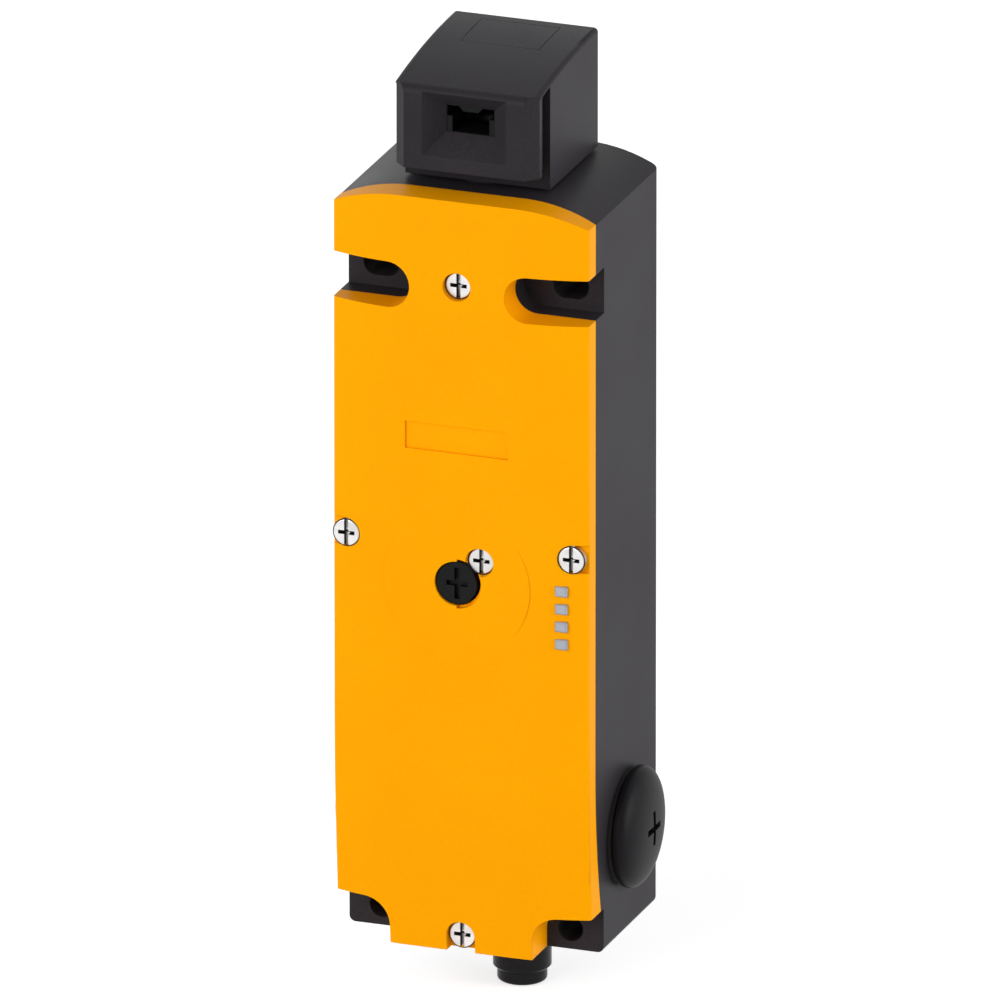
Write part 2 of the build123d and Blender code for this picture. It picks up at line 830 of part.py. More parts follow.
def slot_guide():
    """Guide with the tongue slot: side ears at the top and a ridge down its middle."""
    low = throat_centre_height - throat_height / 2
    high = throat_centre_height + throat_height / 2
    wide = throat_width / 2
    half = slot_width / 2
    ear = high - slot_ear_height
    ridge = high - ridge_drop
    right = [(half, low), (half, ear), (wide, ear), (wide, high)]
    right += [(ridge_top_width / 2, high), (ridge_width / 2, ridge)]
    left = [(-x, z) for x, z in reversed(right)]
    slot = Polygon(*right, *left, align=None)
    front = ear_plane - block_front + funnel_depth
    return along_y(guide_outline(0) - slot, front, ear_plane + head_cavity_front)


def top_blank_skin(spread):
    """Thin skin of the roof over the second tongue slot."""
    front = ear_plane + blank_front - spread
    back = ear_plane + blank_back + spread
    outer = along_x(roof_outline(0, front, back), -blank_width / 2 - spread, blank_width / 2 + spread)
    return outer - along_x(roof_outline(blank_height, front, back), -width, width)


def head_top_blank():
    half = top_slot_width / 2 - seat_gap
    stem = block(-half, half, ear_plane + top_slot_front + seat_gap, ear_plane + top_slot_back - seat_gap,
                 head_cavity_height, roof_back_height)
    stem &= along_x(roof_outline(blank_height, ear_plane, 0), -width, width)
    return top_blank_skin(0) + stem


def base_pillars():
    reach_x = head_cavity_half - base_pillar_radius - seat_gap
    front = ear_plane + head_cavity_front + base_pillar_radius + seat_gap
    back = ear_plane + head_cavity_back - base_pillar_radius - seat_gap
    return [(x, y) for x in (-reach_x, reach_x) for y in (front, back)]


def base_screw_sink(x, y, spread):
    """Countersunk head of a screw in the head's floor."""
    radius = base_screw_radius + spread
    lifted = (Align.CENTER, Align.CENTER, Align.MIN)
    return Pos(x, y, head_floor) * Cone(base_screw_radius + radius, radius, base_screw_radius, align=lifted)


def head_base_screws():
    """Countersunk screws that hold the floor of the head."""
    screws = []
    for x, y in base_pillars():
        screw = rod_z(base_screw_radius, head_floor, head_floor + base_screw_grip, x, y)
        screw += base_screw_sink(x, y, 0)
        slot = Pos(x, y) * Rectangle(small_slot_width, 5 * base_screw_radius)
        slot = along_z(slot, head_floor - free_gap, head_floor + base_screw_radius / 2)
        screws.append((screw - slot).solid())
    return Compound(screws)


def head_base():
    """Floor of the head with the hollow neck that turns in the housing."""
    half = head_cavity_half - seat_gap
    base = block(-half, half, ear_plane + head_cavity_front + seat_gap, ear_plane + head_cavity_back - seat_gap,
                 head_floor, head_floor + base_height)
    base += rod_z(neck_radius, neck_foot, head_floor)
    reach = cam_disc_outer + free_gap
    base -= rod_x(cam_disc_radius + free_gap, -reach, reach, cam_y, cam_height)
    base -= rod_z(plunger_bush_radius, neck_foot, head_floor + base_height)
    for x, y in base_pillars():
        base -= rod_z(base_screw_radius + seat_gap, head_floor, head_floor + base_height, x, y)
        base -= base_screw_sink(x, y, seat_gap)
    groove = neck_foot + clip_height
    base -= tube_z(neck_radius + free_gap, neck_radius - clip_bite, groove, groove + clip_height)
    seal = dome_height - 3 * seal_section
    reach = seal_section + seat_gap
    base -= tube_z(neck_radius + free_gap, neck_radius - 1.5 * seal_section, seal - reach, seal + reach)
    return base


def plunger_bush():
    top = head_floor + plunger_bush_stand
    return tube_z(plunger_bush_radius - seat_gap, plunger_radius + running, neck_foot, top)


def neck_clip():
    """Open spring ring in the neck's groove, under the housing's boss."""
    low = neck_foot + clip_height + seat_gap
    high = low + clip_height - 2 * seat_gap
    ring = tube_z(neck_radius + clip_stand, neck_radius - clip_bite + seat_gap, low, high)
    return ring - block(-clip_opening / 2, clip_opening / 2, axis_y - 2 * neck_radius, axis_y, low, high)


def neck_seal():
    ring = Plane.XZ * Pos(neck_radius - seal_section / 2, 0) * Circle(seal_section - seal_squeeze)
    ring = revolve(ring, axis=Axis.Z)
    return Pos(0, axis_y, dome_height - 3 * seal_section) * ring


def cam_axle():
    return rod_x(axle_radius, -axle_half_length + seat_gap, axle_half_length - seat_gap, cam_y, cam_height)


def cam_wheel():
    """Notched discs that the tongue turns, either side of the lobe over the plunger."""
    lobe = involute_cam(cam_lift_rest, -cam_rate, -cam_margin, cam_stroke + 2 * cam_margin, -90)
    lobe = along_x(Pos(cam_y, cam_height) * (lobe + Circle(cam_hub_radius)), -cam_lobe_half, cam_lobe_half)
    wheel = lobe + rod_x(cam_hub_radius, -cam_disc_outer, cam_disc_outer, cam_y, cam_height)
    disc = Circle(cam_disc_radius)
    notch = Rot(0, 0, cam_notch_angle) * Pos(cam_notch_floor + cam_disc_radius, 0)
    disc -= notch * Rectangle(2 * cam_disc_radius, cam_notch_width)
    for left in (-cam_disc_outer, cam_disc_inner):
        wheel += along_x(Pos(cam_y, cam_height) * disc, left, left + cam_disc_outer - cam_disc_inner)
    wheel -= rod_x(axle_radius + running, -cam_disc_outer, cam_disc_outer, cam_y, cam_height)
    pocket = rod_z(rod_radius + 2 * free_gap, cam_height - 2 * cam_lift_rest, cam_height - cam_hub_radius / 2)
    return wheel - pocket.rotate(Axis((0, cam_y, cam_height), (1, 0, 0)), cam_stroke)


# Plunger, lock rod and the contacts they work


def plunger_tube():
    low = position_block_floor + contact_block_height
    tube = tube_z(plunger_radius, rod_radius + running, low, plunger_top)
    rims = tube.edges().filter_by(GeomType.CIRCLE).sort_by(Axis.Z)[-2:]
    return chamfer(rims.sort_by(SortBy.RADIUS)[-1], tip_edge)


def lock_rod():
    rod = rod_z(rod_radius, solenoid_top, rod_top)
    return chamfer(rod.edges().filter_by(GeomType.CIRCLE).sort_by(Axis.Z)[-1], tip_edge)


def release_follower():
    plate = block(-follower_half, follower_half, ear_plane + follower_front, ear_plane + follower_back,
                  follower_top - follower_thickness, follower_top)
    plate = fillet(plate.edges().filter_by(Axis.Z), follower_corner)
    return plate - rod_z(rod_radius + seat_gap, follower_top - follower_thickness, follower_top)


def contact_block(floor, strip_level):
    """Moulded block with a well for the sliding carrier and slots for its four strips."""
    top = floor + contact_block_height
    outer = block(-block_half, block_half, axis_y - block_half_depth, axis_y + block_half_depth, floor, top)
    outer = fillet(outer.edges().filter_by(Axis.Z), block_corner)
    well = floor + block_floor
    outer -= block(-well_half, well_half, axis_y - well_half_depth, axis_y + well_half_depth, well, top)
    outer -= rod_z(rod_radius + 2 * free_gap, floor, well)
    return outer - strip_slots(strip_level)


def strip_slots(level):
    """Slots for the two rows of contact strips or bridges at one height."""
    half = bridge_width / 2 + seat_gap
    slot = block(-width, width, bridge_offset - half, bridge_offset + half, level - seat_gap,
                 level + strip_thickness + seat_gap)
    return Pos(0, axis_y, 0) * (slot + mirror(slot, about=Plane.XZ))


def strip_places():
    return [(x, axis_y + y * bridge_offset) for x in (-1, 1) for y in (-1, 1)]


def fixed_contacts(strip_level):
    """Four strips with a contact rivet at the inner end and a screw hole at the outer."""
    strips = []
    for side, y in strip_places():
        left = min(side * strip_inner, side * strip_outer)
        right = max(side * strip_inner, side * strip_outer)
        top = strip_level + strip_thickness
        strip = block(left, right, y - bridge_width / 2, y + bridge_width / 2, strip_level, top)
        strip += rod_z(contact_tip_radius, strip_level - contact_tip_height, strip_level,
                       side * (strip_inner + 2 * contact_tip_radius), y)
        strip += rod_z(terminal_head_radius, strip_level, top, side * terminal_offset, y)
        strip -= rod_z(terminal_shank_radius + seat_gap, strip_level, top, side * terminal_offset, y)
        strips.append(strip)
    return Compound(strips)


def terminal_screws(levels):
    """Clamp screws at the outer ends of the strips."""
    screws = []
    for level in levels:
        for side, y in strip_places():
            x = side * terminal_offset
            top = level + strip_thickness
            screw = rod_z(terminal_head_radius, top, top + terminal_head_height, x, y)
            screw += rod_z(terminal_shank_radius, level - terminal_grip, top, x, y)
            slot = Pos(x, y) * Rectangle(small_slot_width, 3 * terminal_head_radius)
            screws.append(screw - along_z(slot, top + terminal_head_height / 2, top + 2 * terminal_head_height))
    return Compound(screws)


def bridge_level(floor):
    return floor + contact_block_height / 2


def carrier(floor, top, bore):
    """Sliding carrier that holds two contact bridges either side of the rod."""
    level = bridge_level(floor)
    body = block(-carrier_half, carrier_half, axis_y - carrier_half_depth, axis_y + carrier_half_depth,
                 level - carrier_sole, top)
    return body - rod_z(bore, level - carrier_sole, top) - strip_slots(level)


def bridges(floor):
    level = bridge_level(floor)
    pair = []
    for y in (-1, 1):
        middle = axis_y + y * bridge_offset
        bar = block(-bridge_half, bridge_half, middle - bridge_width / 2, middle + bridge_width / 2, level,
                    level + strip_thickness)
        for side in (-1, 1):
            top = level + strip_thickness
            bar += rod_z(contact_tip_radius, top, top + contact_tip_height,
                         side * (strip_inner + 2 * contact_tip_radius), middle)
        pair.append(bar)
    return Compound(pair)


def strip_level(floor, stroke):
    """Height of the fixed strips, just beyond the bridge's stroke."""
    return bridge_level(floor) + strip_thickness + 2 * contact_tip_height + stroke + 2 * running


def coil_spring(radius, wire, low, high, turns):
    """Round-wire compression spring about the mechanism axis."""
    path = Helix(pitch=(high - low - 2 * wire) / turns, height=high - low - 2 * wire, radius=radius)
    path = Pos(0, axis_y, low + wire) * path
    section = Plane(origin=path @ 0, z_dir=path % 0) * Circle(wire)
    return sweep(section, path=path)


# Solenoid


def solenoid_frame():
    """Closed steel yoke round the coil, open to front and back."""
    frame = block(-solenoid_half, solenoid_half, axis_y - solenoid_half_depth, axis_y + solenoid_half_depth,
                  solenoid_floor, solenoid_top)
    frame -= block(-solenoid_half + yoke_plate, solenoid_half - yoke_plate, axis_y - width, axis_y + width,
                   solenoid_floor + yoke_plate, solenoid_top - yoke_plate)
    frame -= rod_z(armature_radius + free_gap, solenoid_top - yoke_plate, solenoid_top)
    return frame


def bobbin_span():
    return solenoid_floor + yoke_plate + seat_gap, solenoid_top - yoke_plate - seat_gap


def solenoid_bobbin():
    low, high = bobbin_span()
    bobbin = tube_z(bobbin_bore + bobbin_wall, bobbin_bore, low, high)
    for base in (low, high - bobbin_flange):
        bobbin += tube_z(coil_radius, bobbin_bore, base, base + bobbin_flange)
    return bobbin


def solenoid_coil():
    low, high = bobbin_span()
    edge = bobbin_flange + seat_gap
    return tube_z(coil_radius - coil_recess, bobbin_bore + bobbin_wall + seat_gap, low + edge, high - edge)


def solenoid_core():
    low = solenoid_floor + yoke_plate
    return rod_z(bobbin_bore - seat_gap, low, low + core_height)


def armature():
    low = solenoid_floor + yoke_plate + core_height + armature_gap
    return rod_z(armature_radius, low, solenoid_top)


# Cable entries


def blanking_plug(side):
    """Mushroom-headed screw plug with a cross recess in its domed face."""
    face = width / 2 + plug_seal_height
    rim = plug_rim_radius
    inner = width / 2 - plug_shank
    shank = entry_radius
    top = face + plug_rim_stand + plug_dome
    edge = Line((0, inner), (shank, inner)) + Line((shank, inner), (shank, face))
    edge += Line((shank, face), (rim, face)) + Line((rim, face), (rim, face + plug_rim_stand))
    start = face + plug_rim_stand
    flat = plug_flat_share * rim
    bend = (plug_bend_share * rim, start + plug_bend_rise * plug_dome)
    edge += ThreePointArc((rim, start), bend, (flat, top))
    edge += Line((flat, top), (0, top)) + Line((0, top), (0, inner))
    plug = revolve(make_face(edge), axis=Axis.Y)
    cross = Rectangle(plug_cross_length, plug_cross_width) + Rectangle(plug_cross_width, plug_cross_length)
    plug -= along_y(cross, top - plug_cross_depth, top)
    plug = plug.rotate(Axis.Z, -90 if side > 0 else 90)
    return Pos(0, entry_y, entry_height) * plug


def blanking_plug_seals():
    rings = []
    for side in entry_signs():
        ring = Circle(plug_rim_radius - entry_seal_edge) - Circle(entry_radius + entry_seal_play)
        ring = Pos(entry_y, entry_height) * ring
        low = min(side * width / 2, side * (width / 2 + plug_seal_height))
        rings.append(along_x(ring, low, low + plug_seal_height))
    return Compound(rings)


# Round connector


def connector_place():
    return connector_offset, ear_plane + connector_depth


def m12_connector_shell():
    """Threaded barrel through the floor, flanged inside and open below."""
    x, y = connector_place()
    flange = wall + connector_seal_height
    shell = rod_z(connector_radius, -connector_collar_reach, flange, x, y)
    top = flange + connector_flange_height
    shell = chamfer(shell.edges().filter_by(GeomType.CIRCLE).sort_by(Axis.Z)[0], connector_edge)
    nose = rod_z(connector_nose_radius, -connector_reach, -connector_collar_reach, x, y)
    shell += fillet(nose.edges().filter_by(GeomType.CIRCLE).sort_by(Axis.Z)[0], connector_nose_edge)
    shell += rod_z(connector_seat_radius, -thread_relief_height, flange, x, y)
    shell += rod_z(connector_flange_radius, flange, top, x, y)
    groove = -thread_relief_height
    shell -= tube_z(connector_seat_radius, thread_relief_radius, 2 * groove, groove, x, y)
    return shell - rod_z(connector_nose_radius - connector_wall, -connector_reach, top, x, y)


def m12_insert():
    """Insulating insert that carries the pins, with its coding key."""
    x, y = connector_place()
    low = -connector_reach + connector_socket_depth
    high = wall + connector_seal_height + connector_tail
    radius = connector_nose_radius - connector_wall - seat_gap
    insert = rod_z(radius, low, high, x, y)
    key = Pos(x, y - radius + free_gap + key_height / 2) * Rectangle(key_width, key_height)
    insert += along_z(key, -connector_reach + key_setback, low)
    for px, py in pin_places():
        insert -= rod_z(pin_radius + seat_gap, low, high, px, py)
    return insert


def pin_places():
    x, y = connector_place()
    places = [(x, y)]
    for i in range(pin_count):
        angle = 2 * pi * (i + 0.5) / pin_count - pi / 2
        places.append((x + pin_ring_radius * cos(angle), y + pin_ring_radius * sin(angle)))
    return places


def m12_pins():
    low = -connector_reach + connector_socket_depth
    high = wall + connector_seal_height + connector_tail
    return Compound([rod_z(pin_radius, low - pin_length, high + pin_tail, x, y) for x, y in pin_places()])


def m12_seal():
    x, y = connector_place()
    outer = connector_flange_radius - entry_seal_edge
    return tube_z(outer, connector_seat_radius + entry_seal_play, wall, wall + connector_seal_height, x, y)


# Terminal strip


def pole_places():
    pitch = 2 * strip_block_half / strip_poles
    return [(-strip_block_half + pitch * (i + 0.5), strip_block_floor + strip_block_height * z)
            for i in range(strip_poles) for z in (0.25, 0.75)]


def terminal_strip():
    """Screw terminals on the back wall above the cable entries."""
    front = strip_back_plane - strip_block_depth
    body = block(-strip_block_half, strip_block_half, front, strip_back_plane, strip_block_floor,
                 strip_block_floor + strip_block_height)
    for x, z in pole_places():
        body -= rod_y(strip_screw_radius + seat_gap, front, front + strip_block_depth / 2, x, z)
    return body


def terminal_strip_screws():
    front = strip_back_plane - strip_block_depth
    screws = []
    for x, z in pole_places():
        screw = rod_y(strip_screw_radius, front + strip_screw_sink, front + strip_block_depth / 2, x, z)
        cut = Pos(x, z) * Rectangle(small_slot_width, 4 * strip_screw_radius)
        screws.append(screw - along_y(cut, front, front + 2 * strip_screw_sink))
    return Compound(screws)


position_strips = strip_level(position_block_floor, cam_lift)
lock_strips = strip_level(lock_block_floor, lock_stroke + open_gap)
position_top = position_block_floor + contact_block_height
lock_top = lock_block_floor + contact_block_height

parts = {
    "housing": housing(),
    "front_cover": front_cover(),
    "cover_gasket": gasket_band(0, gasket_height),
    "cover_screws": cover_screws(),
    "led_light_guide": led_light_guide(),
    "indicator_board": indicator_board(),
    "indicator_leds": indicator_leds(),
    "mechanism_chassis": mechanism_chassis(),
    "chassis_screws": chassis_screws(),
    "release_knob": release_knob(),
    "release_shaft": release_shaft(),
    "release_bush": release_bush(),
    "release_seal": release_seal(),
    "head_body": head_body(),
    "head_base": head_base(),
    "head_base_screws": head_base_screws(),
    "slot_guide": slot_guide(),
    "head_top_blank": head_top_blank(),
    "neck_clip": neck_clip(),
    "neck_seal": neck_seal(),
    "plunger_bush": plunger_bush(),
    "cam_axle": cam_axle(),
    "cam_wheel": cam_wheel(),
    "plunger_tube": plunger_tube(),
    "position_carrier": carrier(position_block_floor, position_top, rod_radius + free_gap),
    "position_bridges": bridges(position_block_floor),
    "position_spring": coil_spring(spring_coil_radius, spring_wire, position_block_floor + block_floor,
                                   bridge_level(position_block_floor) - carrier_sole, position_spring_turns),
    "position_contact_block": contact_block(position_block_floor, position_strips),
    "position_fixed_contacts": fixed_contacts(position_strips),
    "lock_rod": lock_rod(),
    "lock_carrier": carrier(lock_block_floor, lock_top, rod_radius + seat_gap),
    "lock_bridges": bridges(lock_block_floor),
    "lock_contact_block": contact_block(lock_block_floor, lock_strips),
    "lock_fixed_contacts": fixed_contacts(lock_strips),
    "contact_terminal_screws": terminal_screws((position_strips, lock_strips)),
    "release_follower": release_follower(),
    "armature": armature(),
    "armature_spring": coil_spring(spring_coil_radius, spring_wire, solenoid_top,
                                   follower_top - follower_thickness, armature_spring_turns),
    "solenoid_frame": solenoid_frame(),
    "solenoid_bobbin": solenoid_bobbin(),
    "solenoid_coil": solenoid_coil(),
    "solenoid_core": solenoid_core(),
    "blanking_plug_left": blanking_plug(-1),
    "blanking_plug_right": blanking_plug(1),
    "blanking_plug_seals": blanking_plug_seals(),
    "m12_connector_shell": m12_connector_shell(),
    "m12_insert": m12_insert(),
    "m12_pins": m12_pins(),
    "m12_seal": m12_seal(),
    "terminal_strip": terminal_strip(),
    "terminal_strip_screws": terminal_strip_screws(),
}

os.makedirs("parts", exist_ok=True)
for name, shape in parts.items():
    export_step(Pos(0, 0, -pattern_centre) * shape, "parts/" + name + ".step")
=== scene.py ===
import math

import bmesh
import bpy
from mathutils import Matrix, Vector


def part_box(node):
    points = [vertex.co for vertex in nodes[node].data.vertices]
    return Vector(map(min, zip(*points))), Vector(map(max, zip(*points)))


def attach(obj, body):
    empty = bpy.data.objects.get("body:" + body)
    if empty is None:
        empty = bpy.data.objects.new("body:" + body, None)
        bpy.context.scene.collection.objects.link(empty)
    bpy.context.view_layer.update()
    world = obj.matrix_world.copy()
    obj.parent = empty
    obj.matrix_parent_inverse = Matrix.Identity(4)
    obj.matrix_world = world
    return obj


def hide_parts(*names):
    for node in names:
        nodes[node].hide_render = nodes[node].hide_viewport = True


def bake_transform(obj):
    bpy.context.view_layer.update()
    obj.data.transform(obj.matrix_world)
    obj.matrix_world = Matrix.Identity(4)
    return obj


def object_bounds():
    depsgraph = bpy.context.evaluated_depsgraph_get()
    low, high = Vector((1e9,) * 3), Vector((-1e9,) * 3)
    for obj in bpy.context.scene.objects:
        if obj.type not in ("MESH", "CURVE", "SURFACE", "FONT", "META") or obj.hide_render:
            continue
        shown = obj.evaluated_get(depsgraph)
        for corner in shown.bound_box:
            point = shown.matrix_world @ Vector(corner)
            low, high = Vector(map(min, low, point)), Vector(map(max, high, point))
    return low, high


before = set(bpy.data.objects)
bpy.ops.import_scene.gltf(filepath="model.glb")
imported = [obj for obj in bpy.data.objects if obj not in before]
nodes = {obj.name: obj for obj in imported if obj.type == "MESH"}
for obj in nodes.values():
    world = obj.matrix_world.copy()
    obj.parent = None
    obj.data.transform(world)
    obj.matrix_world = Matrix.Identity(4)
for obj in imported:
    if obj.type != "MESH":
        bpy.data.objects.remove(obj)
cad_box = [list(corner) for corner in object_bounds()]
MM = 0.001

# Housing. One deep box moulded in black polyester filled with glass fibre. Everything else is
# screwed into it. Its mould was spark-eroded, which leaves an even grain that breaks up the
# light. The real grain is about 0.1 mm, and it is drawn coarser here so that it shows.
PBT_BLACK = "#29272a"
PBT_SPECK = "#322f33"
PBT_ROUGHNESS = 0.44
PBT_EDGE = 0.25
PBT_GRAIN = 0.45
PBT_RELIEF = 0.007
PBT_SPECULAR = 0.06
FLOW_MARK = 22.0
FLOW_CLOUD = (0.12, 0.42)
NOISE_SPAN = (0.3, 0.7)
GLOSS_DRIFT = 0.04


def linear(code):
    """Linear colour of an sRGB hex value."""
    parts = [int(code[i:i + 2], 16) / 255 for i in (1, 3, 5)]
    return [c / 12.92 if c <= 0.04045 else ((c + 0.055) / 1.055) ** 2.4 for c in parts] + [1.0]


def add(tree, kind, inputs=None, **settings):
    """New node with its settings. An input takes a value, or a link from another socket."""
    node = tree.nodes.new(kind)
    for name, value in settings.items():
        setattr(node, name, value)
    for key, value in (inputs or {}).items():
        if isinstance(value, bpy.types.NodeSocket):
            tree.links.new(value, node.inputs[key])
        else:
            node.inputs[key].default_value = value
    return node


def new_material(name, **surface):
    """Material with its shader, the shader's constant sockets, and the piece's own coordinates."""
    material = bpy.data.materials.new(name)
    material.use_nodes = True
    tree = material.node_tree
    tree.nodes.clear()
    shader = add(tree, "ShaderNodeBsdfPrincipled", {k.replace("_", " "): v for k, v in surface.items()})
    add(tree, "ShaderNodeOutputMaterial", {"Surface": shader.outputs[0]})
    place = add(tree, "ShaderNodeTexCoord").outputs["Object"]
    return material, tree, shader, place


def moulded(name, colour, speck, roughness, grain, relief, specular=0.5, ior=1.5, edge=0.15):
    """Moulded plastic: eroded grain, faint flow marks in colour and gloss, softly rounded edges.
    Grain, relief and edge are in millimetres."""
    material, tree, shader, place = new_material(name, IOR=ior)
    shader.inputs["Specular IOR Level"].default_value = specular
    corner = add(tree, "ShaderNodeBevel", {"Radius": edge * MM}, samples=4)
    noise = add(tree, "ShaderNodeTexNoise", {"Vector": place, "Scale": 1 / (grain * MM), "Detail": 3.0})
    flow = add(tree, "ShaderNodeTexNoise", {"Vector": place, "Scale": 1 / (FLOW_MARK * MM), "Detail": 2.0})
    cloud = add(tree, "ShaderNodeMath", {0: noise.outputs[0], 1: flow.outputs[0]}, operation="MULTIPLY")
    tone = add(tree, "ShaderNodeMapRange", {0: cloud.outputs[0], 1: FLOW_CLOUD[0], 2: FLOW_CLOUD[1]})
    mix = add(tree, "ShaderNodeMix", {
        0: tone.outputs[0], 6: linear(colour), 7: linear(speck)}, data_type="RGBA")
    gloss = add(tree, "ShaderNodeMapRange", {
        0: flow.outputs[0], 1: NOISE_SPAN[0], 2: NOISE_SPAN[1],
        3: roughness - GLOSS_DRIFT, 4: roughness + GLOSS_DRIFT})
    bump = add(tree, "ShaderNodeBump", {
        "Height": noise.outputs[0], "Distance": relief * MM, "Strength": 1.0, "Normal": corner.outputs[0]})
    tree.links.new(mix.outputs[2], shader.inputs["Base Color"])
    tree.links.new(gloss.outputs[0], shader.inputs["Roughness"])
    tree.links.new(bump.outputs[0], shader.inputs["Normal"])
    return material


def dress(material, *names):
    """Gives CAD nodes their finish."""
    for name in names:
        mesh = nodes[name].data
        mesh.materials.clear()
        mesh.materials.append(material)


glass_filled_pbt = moulded("glass_filled_pbt", PBT_BLACK, PBT_SPECK, PBT_ROUGHNESS, PBT_GRAIN,
                           PBT_RELIEF, PBT_SPECULAR, edge=PBT_EDGE)
dress(glass_filled_pbt, "housing")

# Gasket and seals. Soft nitrile rubber rings, pressed or moulded. They lie in grooves, so only
# their edges are ever seen, dull and with a dusty bloom.
RUBBER_BLACK = "#1c1b1b"
RUBBER_BLOOM = "#2b2a29"

nitrile_rubber = moulded("nitrile_rubber", RUBBER_BLACK, RUBBER_BLOOM, roughness=0.78, grain=0.3,
                         relief=0.01, specular=0.3, ior=1.52)
dress(nitrile_rubber, "cover_gasket", "neck_seal", "blanking_plug_seals", "m12_seal", "release_seal")

# Front cover. A crowned lid moulded in amber polyester and pulled onto the gasket by screws.
# It is smoother than the housing, so it gives one even signal colour with a faint sheen.
AMBER = "#ffaa00"
AMBER_DEEP = "#fda500"
AMBER_ROUGHNESS = 0.42
AMBER_GRAIN = 0.6
AMBER_RELIEF = 0.004
AMBER_SPECULAR = 0.03

amber_polyester = moulded("amber_polyester", AMBER_DEEP, AMBER, AMBER_ROUGHNESS, AMBER_GRAIN,
                          AMBER_RELIEF, AMBER_SPECULAR)
dress(amber_polyester, "front_cover")

# Cover screws. Steel screws with a cheese head, cut with a full slot and a cross recess, so
# that either driver fits. Their coarse thread bites into the housing. The zinc plating gives a
# bright, slightly cloudy metal, and the recesses are painted dark as shade.
SCREW_PLACES = ((0.0, 69.2), (-23.8, 14.1), (23.8, 14.1), (4.83, 11.6))
SCREW_HEAD_FRONT = -42.3
FOOT_SCREW_PLACE = (0.0, -69.0)
FOOT_SCREW_FRONT = -40.2
SCREW_HEAD_RADIUS = 2.74
SCREW_HEAD_HEIGHT = 1.9
SCREW_EDGE = 0.22
SCREW_EDGE_STEP = 0.3 * SCREW_EDGE
SCREW_CORE_RADIUS = 1.25
SCREW_GRIP = 8.0
SCREW_POINT_LENGTH = 1.0
SCREW_POINT_RADIUS = 0.4
SCREW_STEPS = 48
SLOT_HALF = 0.45
SLOT_REACH = 4.0
SLOT_DEPTH = 1.2
CROSS_REACH = 1.75
CROSS_HALF = 0.4
CROSS_DEPTH = 1.3
CROSS_TAPER = 0.55
THREAD_PITCH = 1.3
THREAD_TURNS = 4.6
THREAD_SECTION = 0.3
THREAD_SETBACK = 0.8
BROAD_SHARE = 0.12
BROAD_SPAN = (0.35, 0.65)
ZINC_BRIGHT = "#dad8d8"
ZINC_DULL = "#c6c4c3"
RECESS_SHADE = "#2c2a29"


def metal(name, colour, dull, roughness, grain, relief, spread=0.08):
    """Bare or plated metal whose tone and gloss drift over its surface. Grain and relief are
    in millimetres."""
    material, tree, shader, place = new_material(name, Metallic=1.0)
    noise = add(tree, "ShaderNodeTexNoise", {"Vector": place, "Scale": 1 / (grain * MM), "Detail": 4.0})
    broad = add(tree, "ShaderNodeTexNoise", {
        "Vector": place, "Scale": BROAD_SHARE / (grain * MM), "Detail": 2.0})
    tone = add(tree, "ShaderNodeMapRange", {0: broad.outputs[0], 1: BROAD_SPAN[0], 2: BROAD_SPAN[1]})
    mix = add(tree, "ShaderNodeMix", {
        0: tone.outputs[0], 6: linear(dull), 7: linear(colour)}, data_type="RGBA")
    gloss = add(tree, "ShaderNodeMapRange", {
        0: noise.outputs[0], 1: NOISE_SPAN[0], 2: NOISE_SPAN[1],
        3: roughness - spread, 4: roughness + spread})
    bump = add(tree, "ShaderNodeBump", {
        "Height": noise.outputs[0], "Distance": relief * MM, "Strength": 1.0})
    tree.links.new(mix.outputs[2], shader.inputs["Base Color"])
    tree.links.new(gloss.outputs[0], shader.inputs["Roughness"])
    tree.links.new(bump.outputs[0], shader.inputs["Normal"])
    return material


def finish_mesh(name, shape, *materials):
    """Object at the origin from a bmesh in millimetres."""
    bmesh.ops.scale(shape, vec=Vector((MM, MM, MM)), verts=shape.verts)
    mesh = bpy.data.meshes.new(name)
    shape.to_mesh(mesh)
    shape.free()
    for material in materials:
        mesh.materials.append(material)
    made = bpy.data.objects.new(name, mesh)
    bpy.context.scene.collection.objects.link(made)
    return made


def turned(profile, steps):
    """Solid turned about Z from (radius, height) points, first and last on the axis."""
    shape = bmesh.new()
    rings = []
    for radius, height in profile:
        if radius == 0:
            rings.append([shape.verts.new((0, 0, height))])
            continue
        angles = [2 * math.pi * i / steps for i in range(steps)]
        rings.append([shape.verts.new((radius * math.cos(a), radius * math.sin(a), height))
                      for a in angles])
    for low, high in zip(rings, rings[1:]):
        for i in range(steps):
            j = (i + 1) % steps
            corners = [low[i % len(low)], low[j % len(low)], high[j % len(high)], high[i % len(high)]]
            unique = list(dict.fromkeys(corners))
            shape.faces.new(unique)
    bmesh.ops.recalc_face_normals(shape, faces=shape.faces)
    return shape


def prism(shape, outline, low, high, taper=1.0):
    """Adds an upright prism to a bmesh. Its foot is narrowed by the taper."""
    feet = [shape.verts.new((x * taper, y * taper, low)) for x, y in outline]
    tops = [shape.verts.new((x, y, high)) for x, y in outline]
    shape.faces.new(list(reversed(feet)))
    shape.faces.new(tops)
    count = len(outline)
    for i in range(count):
        j = (i + 1) % count
        shape.faces.new((feet[i], feet[j], tops[j], tops[i]))


